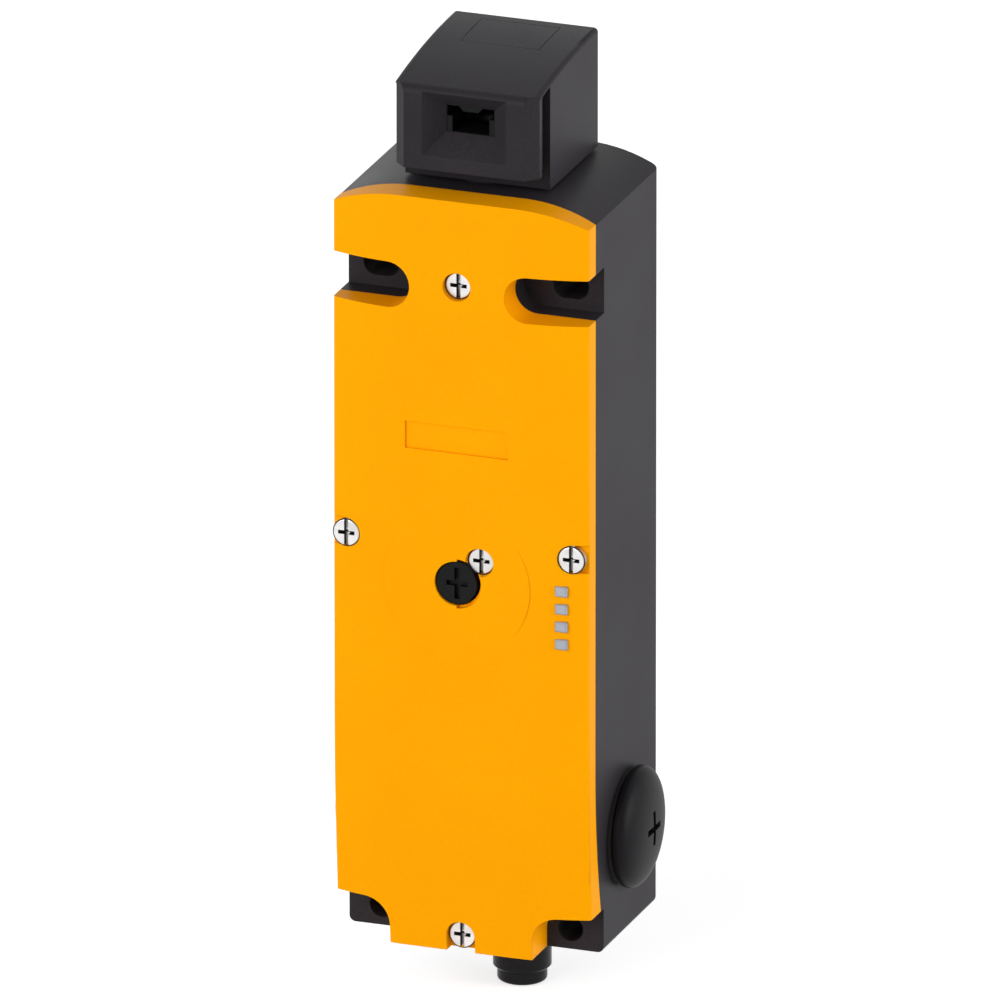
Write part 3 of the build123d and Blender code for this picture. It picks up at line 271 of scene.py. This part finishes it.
def grow(name, tree, points, **sizes):
    """Runs a node tree on a few points in millimetres and keeps the result as a plain mesh."""
    seeds = bpy.data.meshes.new(name)
    seeds.from_pydata([[c * MM for c in point] for point in points], [], [])
    host = bpy.data.objects.new(name, seeds)
    bpy.context.scene.collection.objects.link(host)
    modifier = host.modifiers.new(name, "NODES")
    modifier.node_group = tree
    for item in tree.interface.items_tree:
        if item.item_type == "SOCKET" and item.in_out == "INPUT" and item.name in sizes:
            modifier[item.identifier] = sizes[item.name]
    graph = bpy.context.evaluated_depsgraph_get()
    made = bpy.data.meshes.new_from_object(host.evaluated_get(graph), preserve_all_data_layers=True,
                                           depsgraph=graph)
    host.modifiers.clear()
    host.data = made
    return host


def node_group(name, sockets):
    """Empty geometry tree with named inputs. Returns it with its input node."""
    tree = bpy.data.node_groups.new(name, "GeometryNodeTree")
    tree.interface.new_socket("Geometry", in_out="INPUT", socket_type="NodeSocketGeometry")
    for label, kind in sockets.items():
        tree.interface.new_socket(label, in_out="INPUT", socket_type=kind)
    tree.interface.new_socket("Geometry", in_out="OUTPUT", socket_type="NodeSocketGeometry")
    return tree, tree.nodes.new("NodeGroupInput").outputs


def close_group(tree, instances, *finishes):
    """Ends a tree: instances made real, then one finish for each material slot of the shape."""
    shape = add(tree, "GeometryNodeRealizeInstances", {0: instances}).outputs[0]
    slot = add(tree, "GeometryNodeInputMaterialIndex").outputs[0]
    for i, finish in enumerate(finishes):
        own = add(tree, "FunctionNodeCompare", {2: slot, 3: i}, data_type="INT", operation="EQUAL")
        shape = add(tree, "GeometryNodeSetMaterial", {
            "Geometry": shape, "Selection": own.outputs[0], "Material": finish}).outputs[0]
    add(tree, "NodeGroupOutput", {0: shape})


def wire_tree():
    """Wire or thread wound about an upright axis at each point."""
    tree, given = node_group("wound_wire", {
        "Turns": "NodeSocketFloat", "Radius": "NodeSocketFloat", "Height": "NodeSocketFloat",
        "Section": "NodeSocketFloat", "Sides": "NodeSocketInt", "Steps": "NodeSocketInt",
        "Turn": "NodeSocketVector", "Material": "NodeSocketMaterial"})
    spiral = add(tree, "GeometryNodeCurveSpiral", {
        "Resolution": given["Steps"], "Rotations": given["Turns"], "Start Radius": given["Radius"],
        "End Radius": given["Radius"], "Height": given["Height"]})
    section = add(tree, "GeometryNodeCurvePrimitiveCircle", {
        "Resolution": given["Sides"], "Radius": given["Section"]})
    wound = add(tree, "GeometryNodeCurveToMesh", {
        "Curve": spiral.outputs[0], "Profile Curve": section.outputs[0], "Fill Caps": True})
    placed = add(tree, "GeometryNodeInstanceOnPoints", {
        "Points": given["Geometry"], "Instance": wound.outputs[0], "Rotation": given["Turn"]})
    close_group(tree, placed.outputs[0], given["Material"])
    return tree


def repeat_tree():
    """One shape set down at each point, with a finish for its body and one for its details."""
    tree, given = node_group("set_down", {
        "Shape": "NodeSocketObject", "Turn": "NodeSocketVector", "Material": "NodeSocketMaterial",
        "Detail": "NodeSocketMaterial"})
    shape = add(tree, "GeometryNodeObjectInfo", {"Object": given["Shape"]})
    placed = add(tree, "GeometryNodeInstanceOnPoints", {
        "Points": given["Geometry"], "Instance": shape.outputs["Geometry"], "Rotation": given["Turn"]})
    close_group(tree, placed.outputs[0], given["Material"], given["Detail"])
    return tree


def cut(target, cutter):
    """Takes one closed mesh out of another."""
    modifier = target.modifiers.new("cut", "BOOLEAN")
    modifier.operation = "DIFFERENCE"
    modifier.solver = "EXACT"
    modifier.object = cutter
    modifier.material_mode = "TRANSFER"
    graph = bpy.context.evaluated_depsgraph_get()
    made = bpy.data.meshes.new_from_object(target.evaluated_get(graph), depsgraph=graph)
    target.modifiers.clear()
    target.data = made
    bpy.data.objects.remove(cutter)


zinc_plated_steel = metal("zinc_plated_steel", ZINC_BRIGHT, ZINC_DULL, roughness=0.36, grain=0.5,
                          relief=0.002)
# Painted shade: the walls of the screws' slots and cross recesses get this dark colour in place of the
# shadow inside them.
recess_shade = metal("painted_recess_shade", RECESS_SHADE, RECESS_SHADE, roughness=0.6, grain=0.5,
                     relief=0.002)
wire_maker = wire_tree()
repeat_maker = repeat_tree()

head_top = SCREW_HEAD_HEIGHT
screw_shape = finish_mesh("screw_shape", turned([
    (0, head_top), (SCREW_HEAD_RADIUS - SCREW_EDGE, head_top),
    (SCREW_HEAD_RADIUS - SCREW_EDGE_STEP, head_top - SCREW_EDGE_STEP),
    (SCREW_HEAD_RADIUS, head_top - SCREW_EDGE), (SCREW_HEAD_RADIUS, 0.0), (SCREW_CORE_RADIUS, 0.0),
    (SCREW_CORE_RADIUS, -SCREW_GRIP + SCREW_POINT_LENGTH), (SCREW_POINT_RADIUS, -SCREW_GRIP),
    (0, -SCREW_GRIP)], SCREW_STEPS), zinc_plated_steel)
slot_bit = bmesh.new()
s, r = SLOT_HALF, SLOT_REACH
prism(slot_bit, [(-s, -r), (s, -r), (s, r), (-s, r)], head_top - SLOT_DEPTH, head_top + 1)
slot_bit.faces.ensure_lookup_table()
slot_bit.faces[0].material_index = 1  # the slot's floor stays bright
# The slot's walls take the painted recess shade; its floor stays plated.
cut(screw_shape, finish_mesh("slot_bit", slot_bit, recess_shade, zinc_plated_steel))
cross_bit = bmesh.new()
c, r = CROSS_HALF, CROSS_REACH
prism(cross_bit, [(-r, -c), (r, -c), (r, c), (-r, c)], head_top - CROSS_DEPTH, head_top + 0.01,
      CROSS_TAPER)
# The cross recess takes the painted recess shade all over.
cut(screw_shape, finish_mesh("cross_bit", cross_bit, recess_shade))
screw_points = [(x, SCREW_HEAD_FRONT + SCREW_HEAD_HEIGHT, z) for x, z in SCREW_PLACES]
screw_points.append((FOOT_SCREW_PLACE[0], FOOT_SCREW_FRONT + SCREW_HEAD_HEIGHT, FOOT_SCREW_PLACE[1]))
to_front = (math.pi / 2, 0.0, 0.0)
slotted_screws = grow("slotted_cross_screws", repeat_maker, screw_points, Shape=screw_shape,
                      Turn=to_front, Material=zinc_plated_steel, Detail=recess_shade)
thread_points = [(x, y + SCREW_GRIP - THREAD_SETBACK, z) for x, y, z in screw_points]
screw_threads = grow("cover_screw_threads", wire_maker, thread_points, Turns=THREAD_TURNS,
                     Radius=SCREW_CORE_RADIUS * MM, Height=THREAD_TURNS * THREAD_PITCH * MM,
                     Section=THREAD_SECTION * MM, Sides=4, Steps=24, Turn=to_front,
                     Material=zinc_plated_steel)
bpy.data.objects.remove(screw_shape)
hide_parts("cover_screws")
for piece in (slotted_screws, screw_threads):
    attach(piece, "base")
dress(zinc_plated_steel, "cover_screws", "chassis_screws", "head_base_screws",
      "contact_terminal_screws", "terminal_strip_screws")

# Screw rings. Thin black rubber rings in the gap round each screw head, dark things put there
# as painted shade for the shadow in that gap.
RING_RADIUS = 2.84
RING_SECTION = 0.1
RING_SETBACK = 0.2

ring_points = [(x, y - SCREW_HEAD_HEIGHT + RING_SETBACK, z) for x, y, z in screw_points]
# Painted shade: a dark ring set in the gap round each head, where the shadow falls.
shade_rings = grow("cover_screw_rings", wire_maker, ring_points, Turns=1.0, Radius=RING_RADIUS * MM,
                   Height=0.0, Section=RING_SECTION * MM, Sides=8, Steps=64, Turn=to_front,
                   Material=nitrile_rubber)
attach(shade_rings, "base")

# Auxiliary release. A knob set flush in the cover and secured by the screw beside it. Its
# turned acetal is deep black and slightly waxy. The shaft turns in a bush of sintered bronze,
# dark and open-grained from the oil that it holds.
ACETAL_BLACK = "#0a0b0b"
ACETAL_WORN = "#0f1010"
BRONZE_BRIGHT = "#b98c55"
BRONZE_OILED = "#9a7040"

black_acetal = moulded("black_acetal", ACETAL_BLACK, ACETAL_WORN, roughness=0.45, grain=0.8,
                       relief=0.004, specular=0.12, ior=1.48)
sintered_bronze = metal("oiled_sintered_bronze", BRONZE_BRIGHT, BRONZE_OILED, roughness=0.45,
                        grain=0.25, relief=0.006)
dress(black_acetal, "release_knob", "release_shaft")
dress(sintered_bronze, "release_bush", "plunger_bush")

# Lamp windows and their board. Four windows moulded as one light guide in frosted
# polycarbonate stand a little proud of the cover, pale and milky, with painted shade darkening
# their rims. Behind them a board under glossy green solder mask carries four ceramic lamp chips.
WINDOW_GREY = "#b0b6c0"
WINDOW_EDGE = "#989ca8"
WINDOW_RIM_SHADE = "#6f6a62"
WINDOW_RIM_REACH = 0.45
RIM_LIKENESS = 0.8
MASK_GREEN = "#0f5a34"
MASK_DARK = "#0a4628"
CHIP_WHITE = "#e8e6da"
CHIP_SHADE = "#d5d3c8"


def painted_rim_shade(material, colour, reach):
    """Painted shade: another colour along the edges of a moulded piece, where a rounded normal turns from
    the true one.
    """
    tree = material.node_tree
    shader = next(node for node in tree.nodes if node.type == "BSDF_PRINCIPLED")
    body = shader.inputs["Base Color"].links[0].from_socket
    rounded = add(tree, "ShaderNodeBevel", {"Radius": reach * MM}, samples=8)
    flat = add(tree, "ShaderNodeNewGeometry").outputs["Normal"]
    likeness = add(tree, "ShaderNodeVectorMath", {0: rounded.outputs[0], 1: flat}, operation="DOT_PRODUCT")
    inside = add(tree, "ShaderNodeMapRange", {0: likeness.outputs["Value"], 1: RIM_LIKENESS, 2: 1.0})
    mix = add(tree, "ShaderNodeMix", {
        0: inside.outputs[0], 6: linear(colour), 7: body}, data_type="RGBA")
    tree.links.new(mix.outputs[2], shader.inputs["Base Color"])


frosted_polycarbonate = moulded("frosted_polycarbonate", WINDOW_EDGE, WINDOW_GREY, roughness=0.35,
                                grain=0.3, relief=0.003, ior=1.58)
# Painted shade along the rims of the windows.
painted_rim_shade(frosted_polycarbonate, WINDOW_RIM_SHADE, WINDOW_RIM_REACH)
solder_mask = moulded("solder_mask_on_glass_epoxy", MASK_DARK, MASK_GREEN, roughness=0.3, grain=0.25,
                      relief=0.006, ior=1.55)
ceramic_chip = moulded("ceramic_lamp_chip", CHIP_SHADE, CHIP_WHITE, roughness=0.4, grain=0.2,
                       relief=0.002)
dress(frosted_polycarbonate, "led_light_guide")
dress(solder_mask, "indicator_board")
dress(ceramic_chip, "indicator_leds")

# Board resistors. Chip resistors sit between the lamps, soldered flat to the front of the
# board: glossy black film on ceramic, with bright tinned ends.
RESISTOR_HALF = 0.5
RESISTOR_SIDE = 0.27
RESISTOR_RISE = 0.35
RESISTOR_END = 0.3
RESISTOR_FILM = "#191a1c"
RESISTOR_GLAZE = "#24262a"
TIN_BRIGHT = "#cfd0d2"
TIN_DULL = "#b0b1b4"
RESISTOR_WAIST = 0.9
PRISM_FACES = 6
LAMP_COUNT = 4

resistor_film = moulded("glazed_resistor_film", RESISTOR_FILM, RESISTOR_GLAZE, roughness=0.3,
                        grain=0.2, relief=0.001)
solder_tin = metal("solder_tin", TIN_BRIGHT, TIN_DULL, roughness=0.3, grain=0.2, relief=0.003)
chip = bmesh.new()
for start, end, share in ((-RESISTOR_END, RESISTOR_END, RESISTOR_WAIST),
                          (-RESISTOR_HALF, -RESISTOR_END, 1.0), (RESISTOR_END, RESISTOR_HALF, 1.0)):
    side = share * RESISTOR_SIDE
    prism(chip, [(start, -side), (end, -side), (end, side), (start, side)], 0.0, share * RESISTOR_RISE)
chip.faces.ensure_lookup_table()
for face in chip.faces[PRISM_FACES:]:
    face.material_index = 1  # the two ends
chip_shape = finish_mesh("chip_shape", chip, resistor_film, solder_tin)
lamps_low, lamps_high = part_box("indicator_leds")
lamp_size = lamps_high.x - lamps_low.x
lamp_pitch = (lamps_high.z - lamps_low.z - lamp_size) / (LAMP_COUNT - 1)
chip_points = [((lamps_low.x + lamps_high.x) / 2 / MM, lamps_high.y / MM,
                (lamps_low.z + lamp_size / 2 + (i + 0.5) * lamp_pitch) / MM)
               for i in range(LAMP_COUNT - 1)]
resistors = grow("board_resistors", repeat_maker, chip_points, Shape=chip_shape, Turn=to_front,
                 Material=resistor_film, Detail=solder_tin)
bpy.data.objects.remove(chip_shape)
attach(resistors, "base")

# Mechanism chassis and blocks. A plate on four pillars carries the release bush, and the
# contact blocks, terminal strip and bobbin are moulded alike, in matt mid-grey nylon whose
# skin is faintly mottled.
CHASSIS_GREY = "#8f9190"
CHASSIS_PALE = "#9a9c9b"

grey_nylon = moulded("grey_nylon", CHASSIS_GREY, CHASSIS_PALE, roughness=0.5, grain=0.5,
                     relief=0.008, ior=1.53)
dress(grey_nylon, "mechanism_chassis", "position_contact_block", "lock_contact_block",
      "terminal_strip", "solenoid_bobbin")

# Contacts. Stamped brass bridges, yellow and bright at the cut, ride in carriers of natural
# acetal, which is ivory and waxy. Strips of redder contact copper wait for them in the blocks.
BRASS_BRIGHT = "#d9b36a"
BRASS_DULL = "#b98f49"
COPPER_BRIGHT = "#d98e66"
COPPER_DULL = "#b56c48"
IVORY = "#d9d2bf"
IVORY_SHADE = "#cbc3ae"

stamped_brass = metal("stamped_brass", BRASS_BRIGHT, BRASS_DULL, roughness=0.33, grain=0.4,
                      relief=0.002)
stamped_copper = metal("stamped_contact_copper", COPPER_BRIGHT, COPPER_DULL, roughness=0.35,
                       grain=0.4, relief=0.002)
dress(stamped_brass, "position_bridges", "lock_bridges", "m12_pins")
dress(stamped_copper, "position_fixed_contacts", "lock_fixed_contacts")
natural_acetal = moulded("natural_acetal", IVORY_SHADE, IVORY, roughness=0.4, grain=0.6,
                         relief=0.003, specular=0.4, ior=1.48)
dress(natural_acetal, "position_carrier", "lock_carrier", "release_follower")

# Contact tips. Fine silver, hard alloyed, riveted to the bridges and strips in low domes and
# dulled by use.
TIP_REACH = 8.9
TIP_OFFSET = 2.85
TIP_RADIUS = 0.74
TIP_RISE = 0.05
TIP_DEPTH = 0.35
TIP_STEPS = 24
SILVER_BRIGHT = "#dcd9d2"
SILVER_DULL = "#b5b0a5"

contact_silver = metal("dulled_contact_silver", SILVER_BRIGHT, SILVER_DULL, roughness=0.42,
                       grain=0.3, relief=0.004)
tip_shape = finish_mesh("tip_shape", turned([
    (0, TIP_RISE), (0.5 * TIP_RADIUS, 0.8 * TIP_RISE), (0.85 * TIP_RADIUS, 0.0),
    (TIP_RADIUS, -0.3 * TIP_DEPTH), (TIP_RADIUS, -TIP_DEPTH), (0, -TIP_DEPTH)], TIP_STEPS), contact_silver)


def tip_points(node, top):
    """Places of the four tips of one pair of contacts, on its upper or its lower side."""
    low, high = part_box(node)
    middle = (low.y + high.y) / 2 / MM
    level = (high.z if top else low.z) / MM
    return [(x * TIP_REACH, middle + y * TIP_OFFSET, level) for x in (-1, 1) for y in (-1, 1)]


upright = (0.0, 0.0, 0.0)
upside_down = (math.pi, 0.0, 0.0)
fixed_points = tip_points("position_fixed_contacts", False) + tip_points("lock_fixed_contacts", False)
for name, body, points, turn in (
        ("position_bridge_tips", "plunger", tip_points("position_bridges", True), upright),
        ("lock_bridge_tips", "lock", tip_points("lock_bridges", True), upright),
        ("fixed_contact_tips", "base", fixed_points, upside_down)):
    tips = grow(name, repeat_maker, points, Shape=tip_shape, Turn=turn, Material=contact_silver,
                Detail=contact_silver)
    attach(tips, body)
bpy.data.objects.remove(tip_shape)

# Solenoid. A closed yoke of rolled steel, flashed with zinc to a soft grey, round a bobbin
# wound with copper wire under brown, glossy enamel. Its armature pulls the lock rod down. The
# wire is drawn thicker than the real 0.15 mm, so that its turns show.
WIRE_RADIUS = 0.24
WIRE_ENAMEL = "#8a3c1c"
WIRE_SHADE = "#6b2a12"
YOKE_BRIGHT = "#c3c2bd"
YOKE_DULL = "#b4b3ae"
SPRING_BRIGHT = "#b9b9bb"
SPRING_DULL = "#a9a9ac"

rolled_steel = metal("zinc_flashed_rolled_steel", YOKE_BRIGHT, YOKE_DULL, roughness=0.4, grain=0.9,
                     relief=0.004)
spring_steel = metal("hard_drawn_spring_steel", SPRING_BRIGHT, SPRING_DULL, roughness=0.28, grain=0.5,
                     relief=0.001)
enamelled_wire = moulded("enamelled_copper_wire", WIRE_SHADE, WIRE_ENAMEL, roughness=0.25, grain=0.6,
                         relief=0.001, specular=0.6, ior=1.6)
dress(rolled_steel, "solenoid_frame", "solenoid_core", "armature")
dress(spring_steel, "neck_clip", "lock_rod", "plunger_tube", "cam_axle")
dress(enamelled_wire, "solenoid_coil")
coil_low, coil_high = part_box("solenoid_coil")
coil_axis = (coil_low + coil_high) / 2 / MM
coil_reach = (coil_high.x - coil_low.x) / 2 / MM
coil_span = (coil_high.z - coil_low.z) / MM
turns = math.floor((coil_span - 2 * WIRE_RADIUS) / (2 * WIRE_RADIUS))
coil_foot = (coil_axis.x, coil_axis.y, coil_low.z / MM + WIRE_RADIUS)
winding = grow("solenoid_winding", wire_maker, [coil_foot], Turns=float(turns),
               Radius=(coil_reach - 0.5 * WIRE_RADIUS) * MM, Height=turns * 2 * WIRE_RADIUS * MM,
               Section=WIRE_RADIUS * MM, Sides=8, Steps=48, Turn=upright, Material=enamelled_wire)
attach(winding, "base")

# Springs. Wound cold from hard-drawn wire with a bright, smooth skin. One lies under the
# position carrier and one under the lock rod's follower.
SPRING_WIRE = 0.35

for name, node, turns, mover in (("carrier_spring", "position_spring", 4, "plunger"),
                                 ("lock_rod_spring", "armature_spring", 5, "lock")):
    low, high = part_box(node)
    middle = (low + high) / 2
    reach = (high.x - low.x) / 2 - SPRING_WIRE * MM
    rise = high.z - low.z - 2 * SPRING_WIRE * MM
    spring = grow(name, wire_maker, [(middle.x / MM, middle.y / MM, low.z / MM + SPRING_WIRE)],
                  Turns=float(turns), Radius=reach, Height=rise, Section=SPRING_WIRE * MM, Sides=10,
                  Steps=40, Turn=upright, Material=spring_steel)
    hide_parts(node)
    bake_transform(spring)
dress(spring_steel, "position_spring", "armature_spring")

# Tongue head. Moulded in the same black polyester as the housing. Its funnel leads the tongue
# to a shaped slot, behind which two notched discs turn on a steel axle. They are die-cast zinc,
# passivated to a dark, satin grey.
ZINC_PALE = "#3a3a3c"
ZINC_SHADE = "#2e2e30"

die_cast_zinc = metal("black_passivated_zinc", ZINC_PALE, ZINC_SHADE, roughness=0.45, grain=0.6,
                      relief=0.006)
dress(glass_filled_pbt, "head_body", "head_base", "head_top_blank")
dress(black_acetal, "slot_guide")
dress(die_cast_zinc, "cam_wheel")

# Cable entry plugs. Screw plugs moulded in black nylon, each with a broad dome crossed by a
# recess, screwed home on a rubber washer. Polished moulds leave the dome smooth, with a soft
# broad sheen. The thread is out of sight in the wall, so the shank is plain.
PLUG_RIM = 12.4
PLUG_SHANK = 10.0
PLUG_RIM_RISE = 1.2
PLUG_DOME_RISE = 3.7
PLUG_RIM_EDGE = 0.35
PLUG_CROSS_HALF = 3.7
PLUG_CROSS_SIDE = 0.65
PLUG_CROSS_DEPTH = 1.6
PLUG_CROSS_TAPER = 0.8
DOME_POWER = 2.3
DOME_STEPS = 18
PLUG_STEPS = 96
SHARP_CORNER = math.radians(35)
PLUG_BLACK = "#110f12"
PLUG_SHEEN = "#161417"

black_nylon = moulded("black_nylon", PLUG_BLACK, PLUG_SHEEN, roughness=0.42, grain=0.9, relief=0.004,
                      specular=0.08, ior=1.53)


def plug_shape(length):
    """Plug standing on its shank, with the crown's cross cut in."""
    crown = PLUG_RIM_RISE + PLUG_DOME_RISE
    shares = [math.sin(0.5 * math.pi * i / DOME_STEPS) for i in range(1, DOME_STEPS)]
    dome = [(share * PLUG_RIM, PLUG_RIM_RISE + PLUG_DOME_RISE * (1 - share ** DOME_POWER) ** 0.5)
            for share in shares]
    outline = [(0, crown), *dome, (PLUG_RIM, PLUG_RIM_RISE), (PLUG_RIM, PLUG_RIM_EDGE),
               (PLUG_RIM - PLUG_RIM_EDGE, 0.0), (PLUG_SHANK, 0.0), (PLUG_SHANK, PLUG_RIM_EDGE - length),
               (PLUG_SHANK - PLUG_RIM_EDGE, -length), (0, -length)]
    plug = finish_mesh("plug_shape", turned(outline, PLUG_STEPS), black_nylon)
    plug.data.shade_smooth()
    cross = bmesh.new()
    h, w = PLUG_CROSS_HALF, PLUG_CROSS_SIDE
    arms = [(-w, -h), (w, -h), (w, -w), (h, -w), (h, w), (w, w),
            (w, h), (-w, h), (-w, w), (-h, w), (-h, -w), (-w, -w)]
    prism(cross, arms, crown - PLUG_CROSS_DEPTH, crown + 0.05 * PLUG_CROSS_DEPTH, PLUG_CROSS_TAPER)
    cut(plug, finish_mesh("plug_cross", cross, black_nylon))
    plug.data.set_sharp_from_angle(angle=SHARP_CORNER)
    return plug


for name, sign in (("left", -1), ("right", 1)):
    low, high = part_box("blanking_plug_" + name)
    outer, inner = max(-low.x, high.x) / MM, max(low.x, -high.x) / MM
    reach = PLUG_RIM_RISE + PLUG_DOME_RISE
    shape = plug_shape(outer - inner - reach)
    place = (sign * (outer - reach), (low.y + high.y) / 2 / MM, (low.z + high.z) / 2 / MM)
    plug = grow("entry_plug_" + name, repeat_maker, [place], Shape=shape,
                Turn=(0.0, sign * math.pi / 2, 0.0), Material=black_nylon, Detail=black_nylon)
    bpy.data.objects.remove(shape)
    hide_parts("blanking_plug_" + name)
    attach(plug, "base")
dress(black_nylon, "blanking_plug_left", "blanking_plug_right")

# Round connector. A barrel moulded in polyamide, smooth enough to shine, and clamped through
# the floor of the housing. Its insert holds eight brass pins.
BARREL_BLACK = "#121113"
BARREL_SHEEN = "#161517"

glossy_polyamide = moulded("glossy_polyamide", BARREL_BLACK, BARREL_SHEEN, roughness=0.28, grain=1.2,
                           relief=0.002, specular=0.12, ior=1.53)
dress(glossy_polyamide, "m12_connector_shell")
dress(black_nylon, "m12_insert")

# Floor. A plain pale sheet that the switch stands over, seen from above only. It shows as
# white to the eye and in gloss, and keeps the soft shadow.
FLOOR_HALF = 4.0
FLOOR_PALE = "#e9e9e9"
FLOOR_LIFT = 0.64
FLOOR_GAP = 0.2
WHITE = (1.0, 1.0, 1.0, 1.0)


def seen_ray(tree):
    """One for a ray that goes to the eye straight, in gloss or through glass, and zero for light."""
    ray = add(tree, "ShaderNodeLightPath").outputs
    seen = add(tree, "ShaderNodeMath", {
        0: ray["Is Camera Ray"], 1: ray["Is Glossy Ray"]}, operation="MAXIMUM")
    return add(tree, "ShaderNodeMath", {
        0: seen.outputs[0], 1: ray["Is Transmission Ray"]}, operation="MAXIMUM").outputs[0]


floor_shape = bmesh.new()
half = FLOOR_HALF / MM
drop = cad_box[0][2] / MM - FLOOR_GAP
floor_shape.faces.new([floor_shape.verts.new((x * half, y * half, drop))
                       for x, y in ((-1, -1), (1, -1), (1, 1), (-1, 1))])
floor_paint = bpy.data.materials.new("matt_floor_paint")
floor_paint.use_nodes = True
tree = floor_paint.node_tree
tree.nodes.clear()
lift = add(tree, "ShaderNodeMath", {0: seen_ray(tree), 1: FLOOR_LIFT}, operation="MULTIPLY")
paint = add(tree, "ShaderNodeBsdfDiffuse", {"Color": linear(FLOOR_PALE)})
glow = add(tree, "ShaderNodeEmission", {"Color": WHITE, "Strength": lift.outputs[0]})
both = add(tree, "ShaderNodeAddShader", {0: paint.outputs[0], 1: glow.outputs[0]})
side = add(tree, "ShaderNodeNewGeometry").outputs["Backfacing"]
through = add(tree, "ShaderNodeBsdfTransparent")
sheet = add(tree, "ShaderNodeMixShader", {0: side, 1: both.outputs[0], 2: through.outputs[0]})
add(tree, "ShaderNodeOutputMaterial", {"Surface": sheet.outputs[0]})
floor = finish_mesh("floor", floor_shape, floor_paint)

# Studio. A pale room, dimmer overhead, with three large soft lamps, at the level at which
# a colour looks as it is mixed.
ROOM_LEVEL = 0.74
ROOM_OVERHEAD = 0.12
OVERHEAD_SPAN = (0.1, 0.9)
room = bpy.data.worlds.new("pale_room")
bpy.context.scene.world = room
room.use_nodes = True
tree = room.node_tree
tree.nodes.clear()
upward = add(tree, "ShaderNodeSeparateXYZ", {0: add(tree, "ShaderNodeTexCoord").outputs["Generated"]})
ceiling = add(tree, "ShaderNodeMapRange", {
    0: upward.outputs[2], 1: OVERHEAD_SPAN[0], 2: OVERHEAD_SPAN[1], 3: ROOM_LEVEL, 4: ROOM_OVERHEAD})
level = add(tree, "ShaderNodeMapRange", {0: seen_ray(tree), 3: ceiling.outputs[0], 4: 1.0})
sky = add(tree, "ShaderNodeBackground", {"Color": WHITE, "Strength": level.outputs[0]})
add(tree, "ShaderNodeOutputWorld", {"Surface": sky.outputs[0]})


def direction(azimuth, elevation):
    """Unit vector towards an azimuth, counted from the front to the right, and an elevation."""
    a, e = math.radians(azimuth), math.radians(elevation)
    return Vector((math.sin(a) * math.cos(e), -math.cos(a) * math.cos(e), math.sin(e)))


def lamp(name, azimuth, elevation, distance, size, watts):
    """Square soft lamp aimed at the origin. Distance and size are in metres."""
    light = bpy.data.lights.new(name, "AREA")
    light.shape = "SQUARE"
    light.size = size
    light.energy = watts
    made = bpy.data.objects.new(name, light)
    bpy.context.scene.collection.objects.link(made)
    out = direction(azimuth, elevation)
    made.location = out * distance
    made.rotation_mode = "QUATERNION"
    made.rotation_quaternion = (-out).to_track_quat("-Z", "Y")


lamp("key_lamp", azimuth=-22, elevation=22, distance=2.0, size=1.2, watts=23)
lamp("right_lamp", azimuth=95, elevation=12, distance=2.2, size=1.4, watts=30)
lamp("rear_lamp", azimuth=205, elevation=15, distance=2.5, size=1.6, watts=6)

# Camera. A long lens from the right and above, as far off as the photograph's flat
# perspective asks.
LOOK_AZIMUTH = 20.0
LOOK_ELEVATION = 20.0
LENS = 1600.0
SENSOR_WIDTH = 36.0
FRAME_WIDTH = 199.4
LOOK_AT = (-0.8, -16.0, 14.85)

camera_data = bpy.data.cameras.new("camera")
camera_data.lens = LENS
camera_data.sensor_width = SENSOR_WIDTH
camera = bpy.data.objects.new("camera", camera_data)
bpy.context.scene.collection.objects.link(camera)
out = direction(LOOK_AZIMUTH, LOOK_ELEVATION)
distance = FRAME_WIDTH * MM * LENS / SENSOR_WIDTH
camera.location = Vector(LOOK_AT) * MM + out * distance
camera.rotation_mode = "QUATERNION"
camera.rotation_quaternion = (-out).to_track_quat("-Z", "Y")
camera_data.clip_start = 0.1
camera_data.clip_end = 50.0
bpy.context.scene.camera = camera
bpy.context.scene.view_settings.view_transform = "Standard"
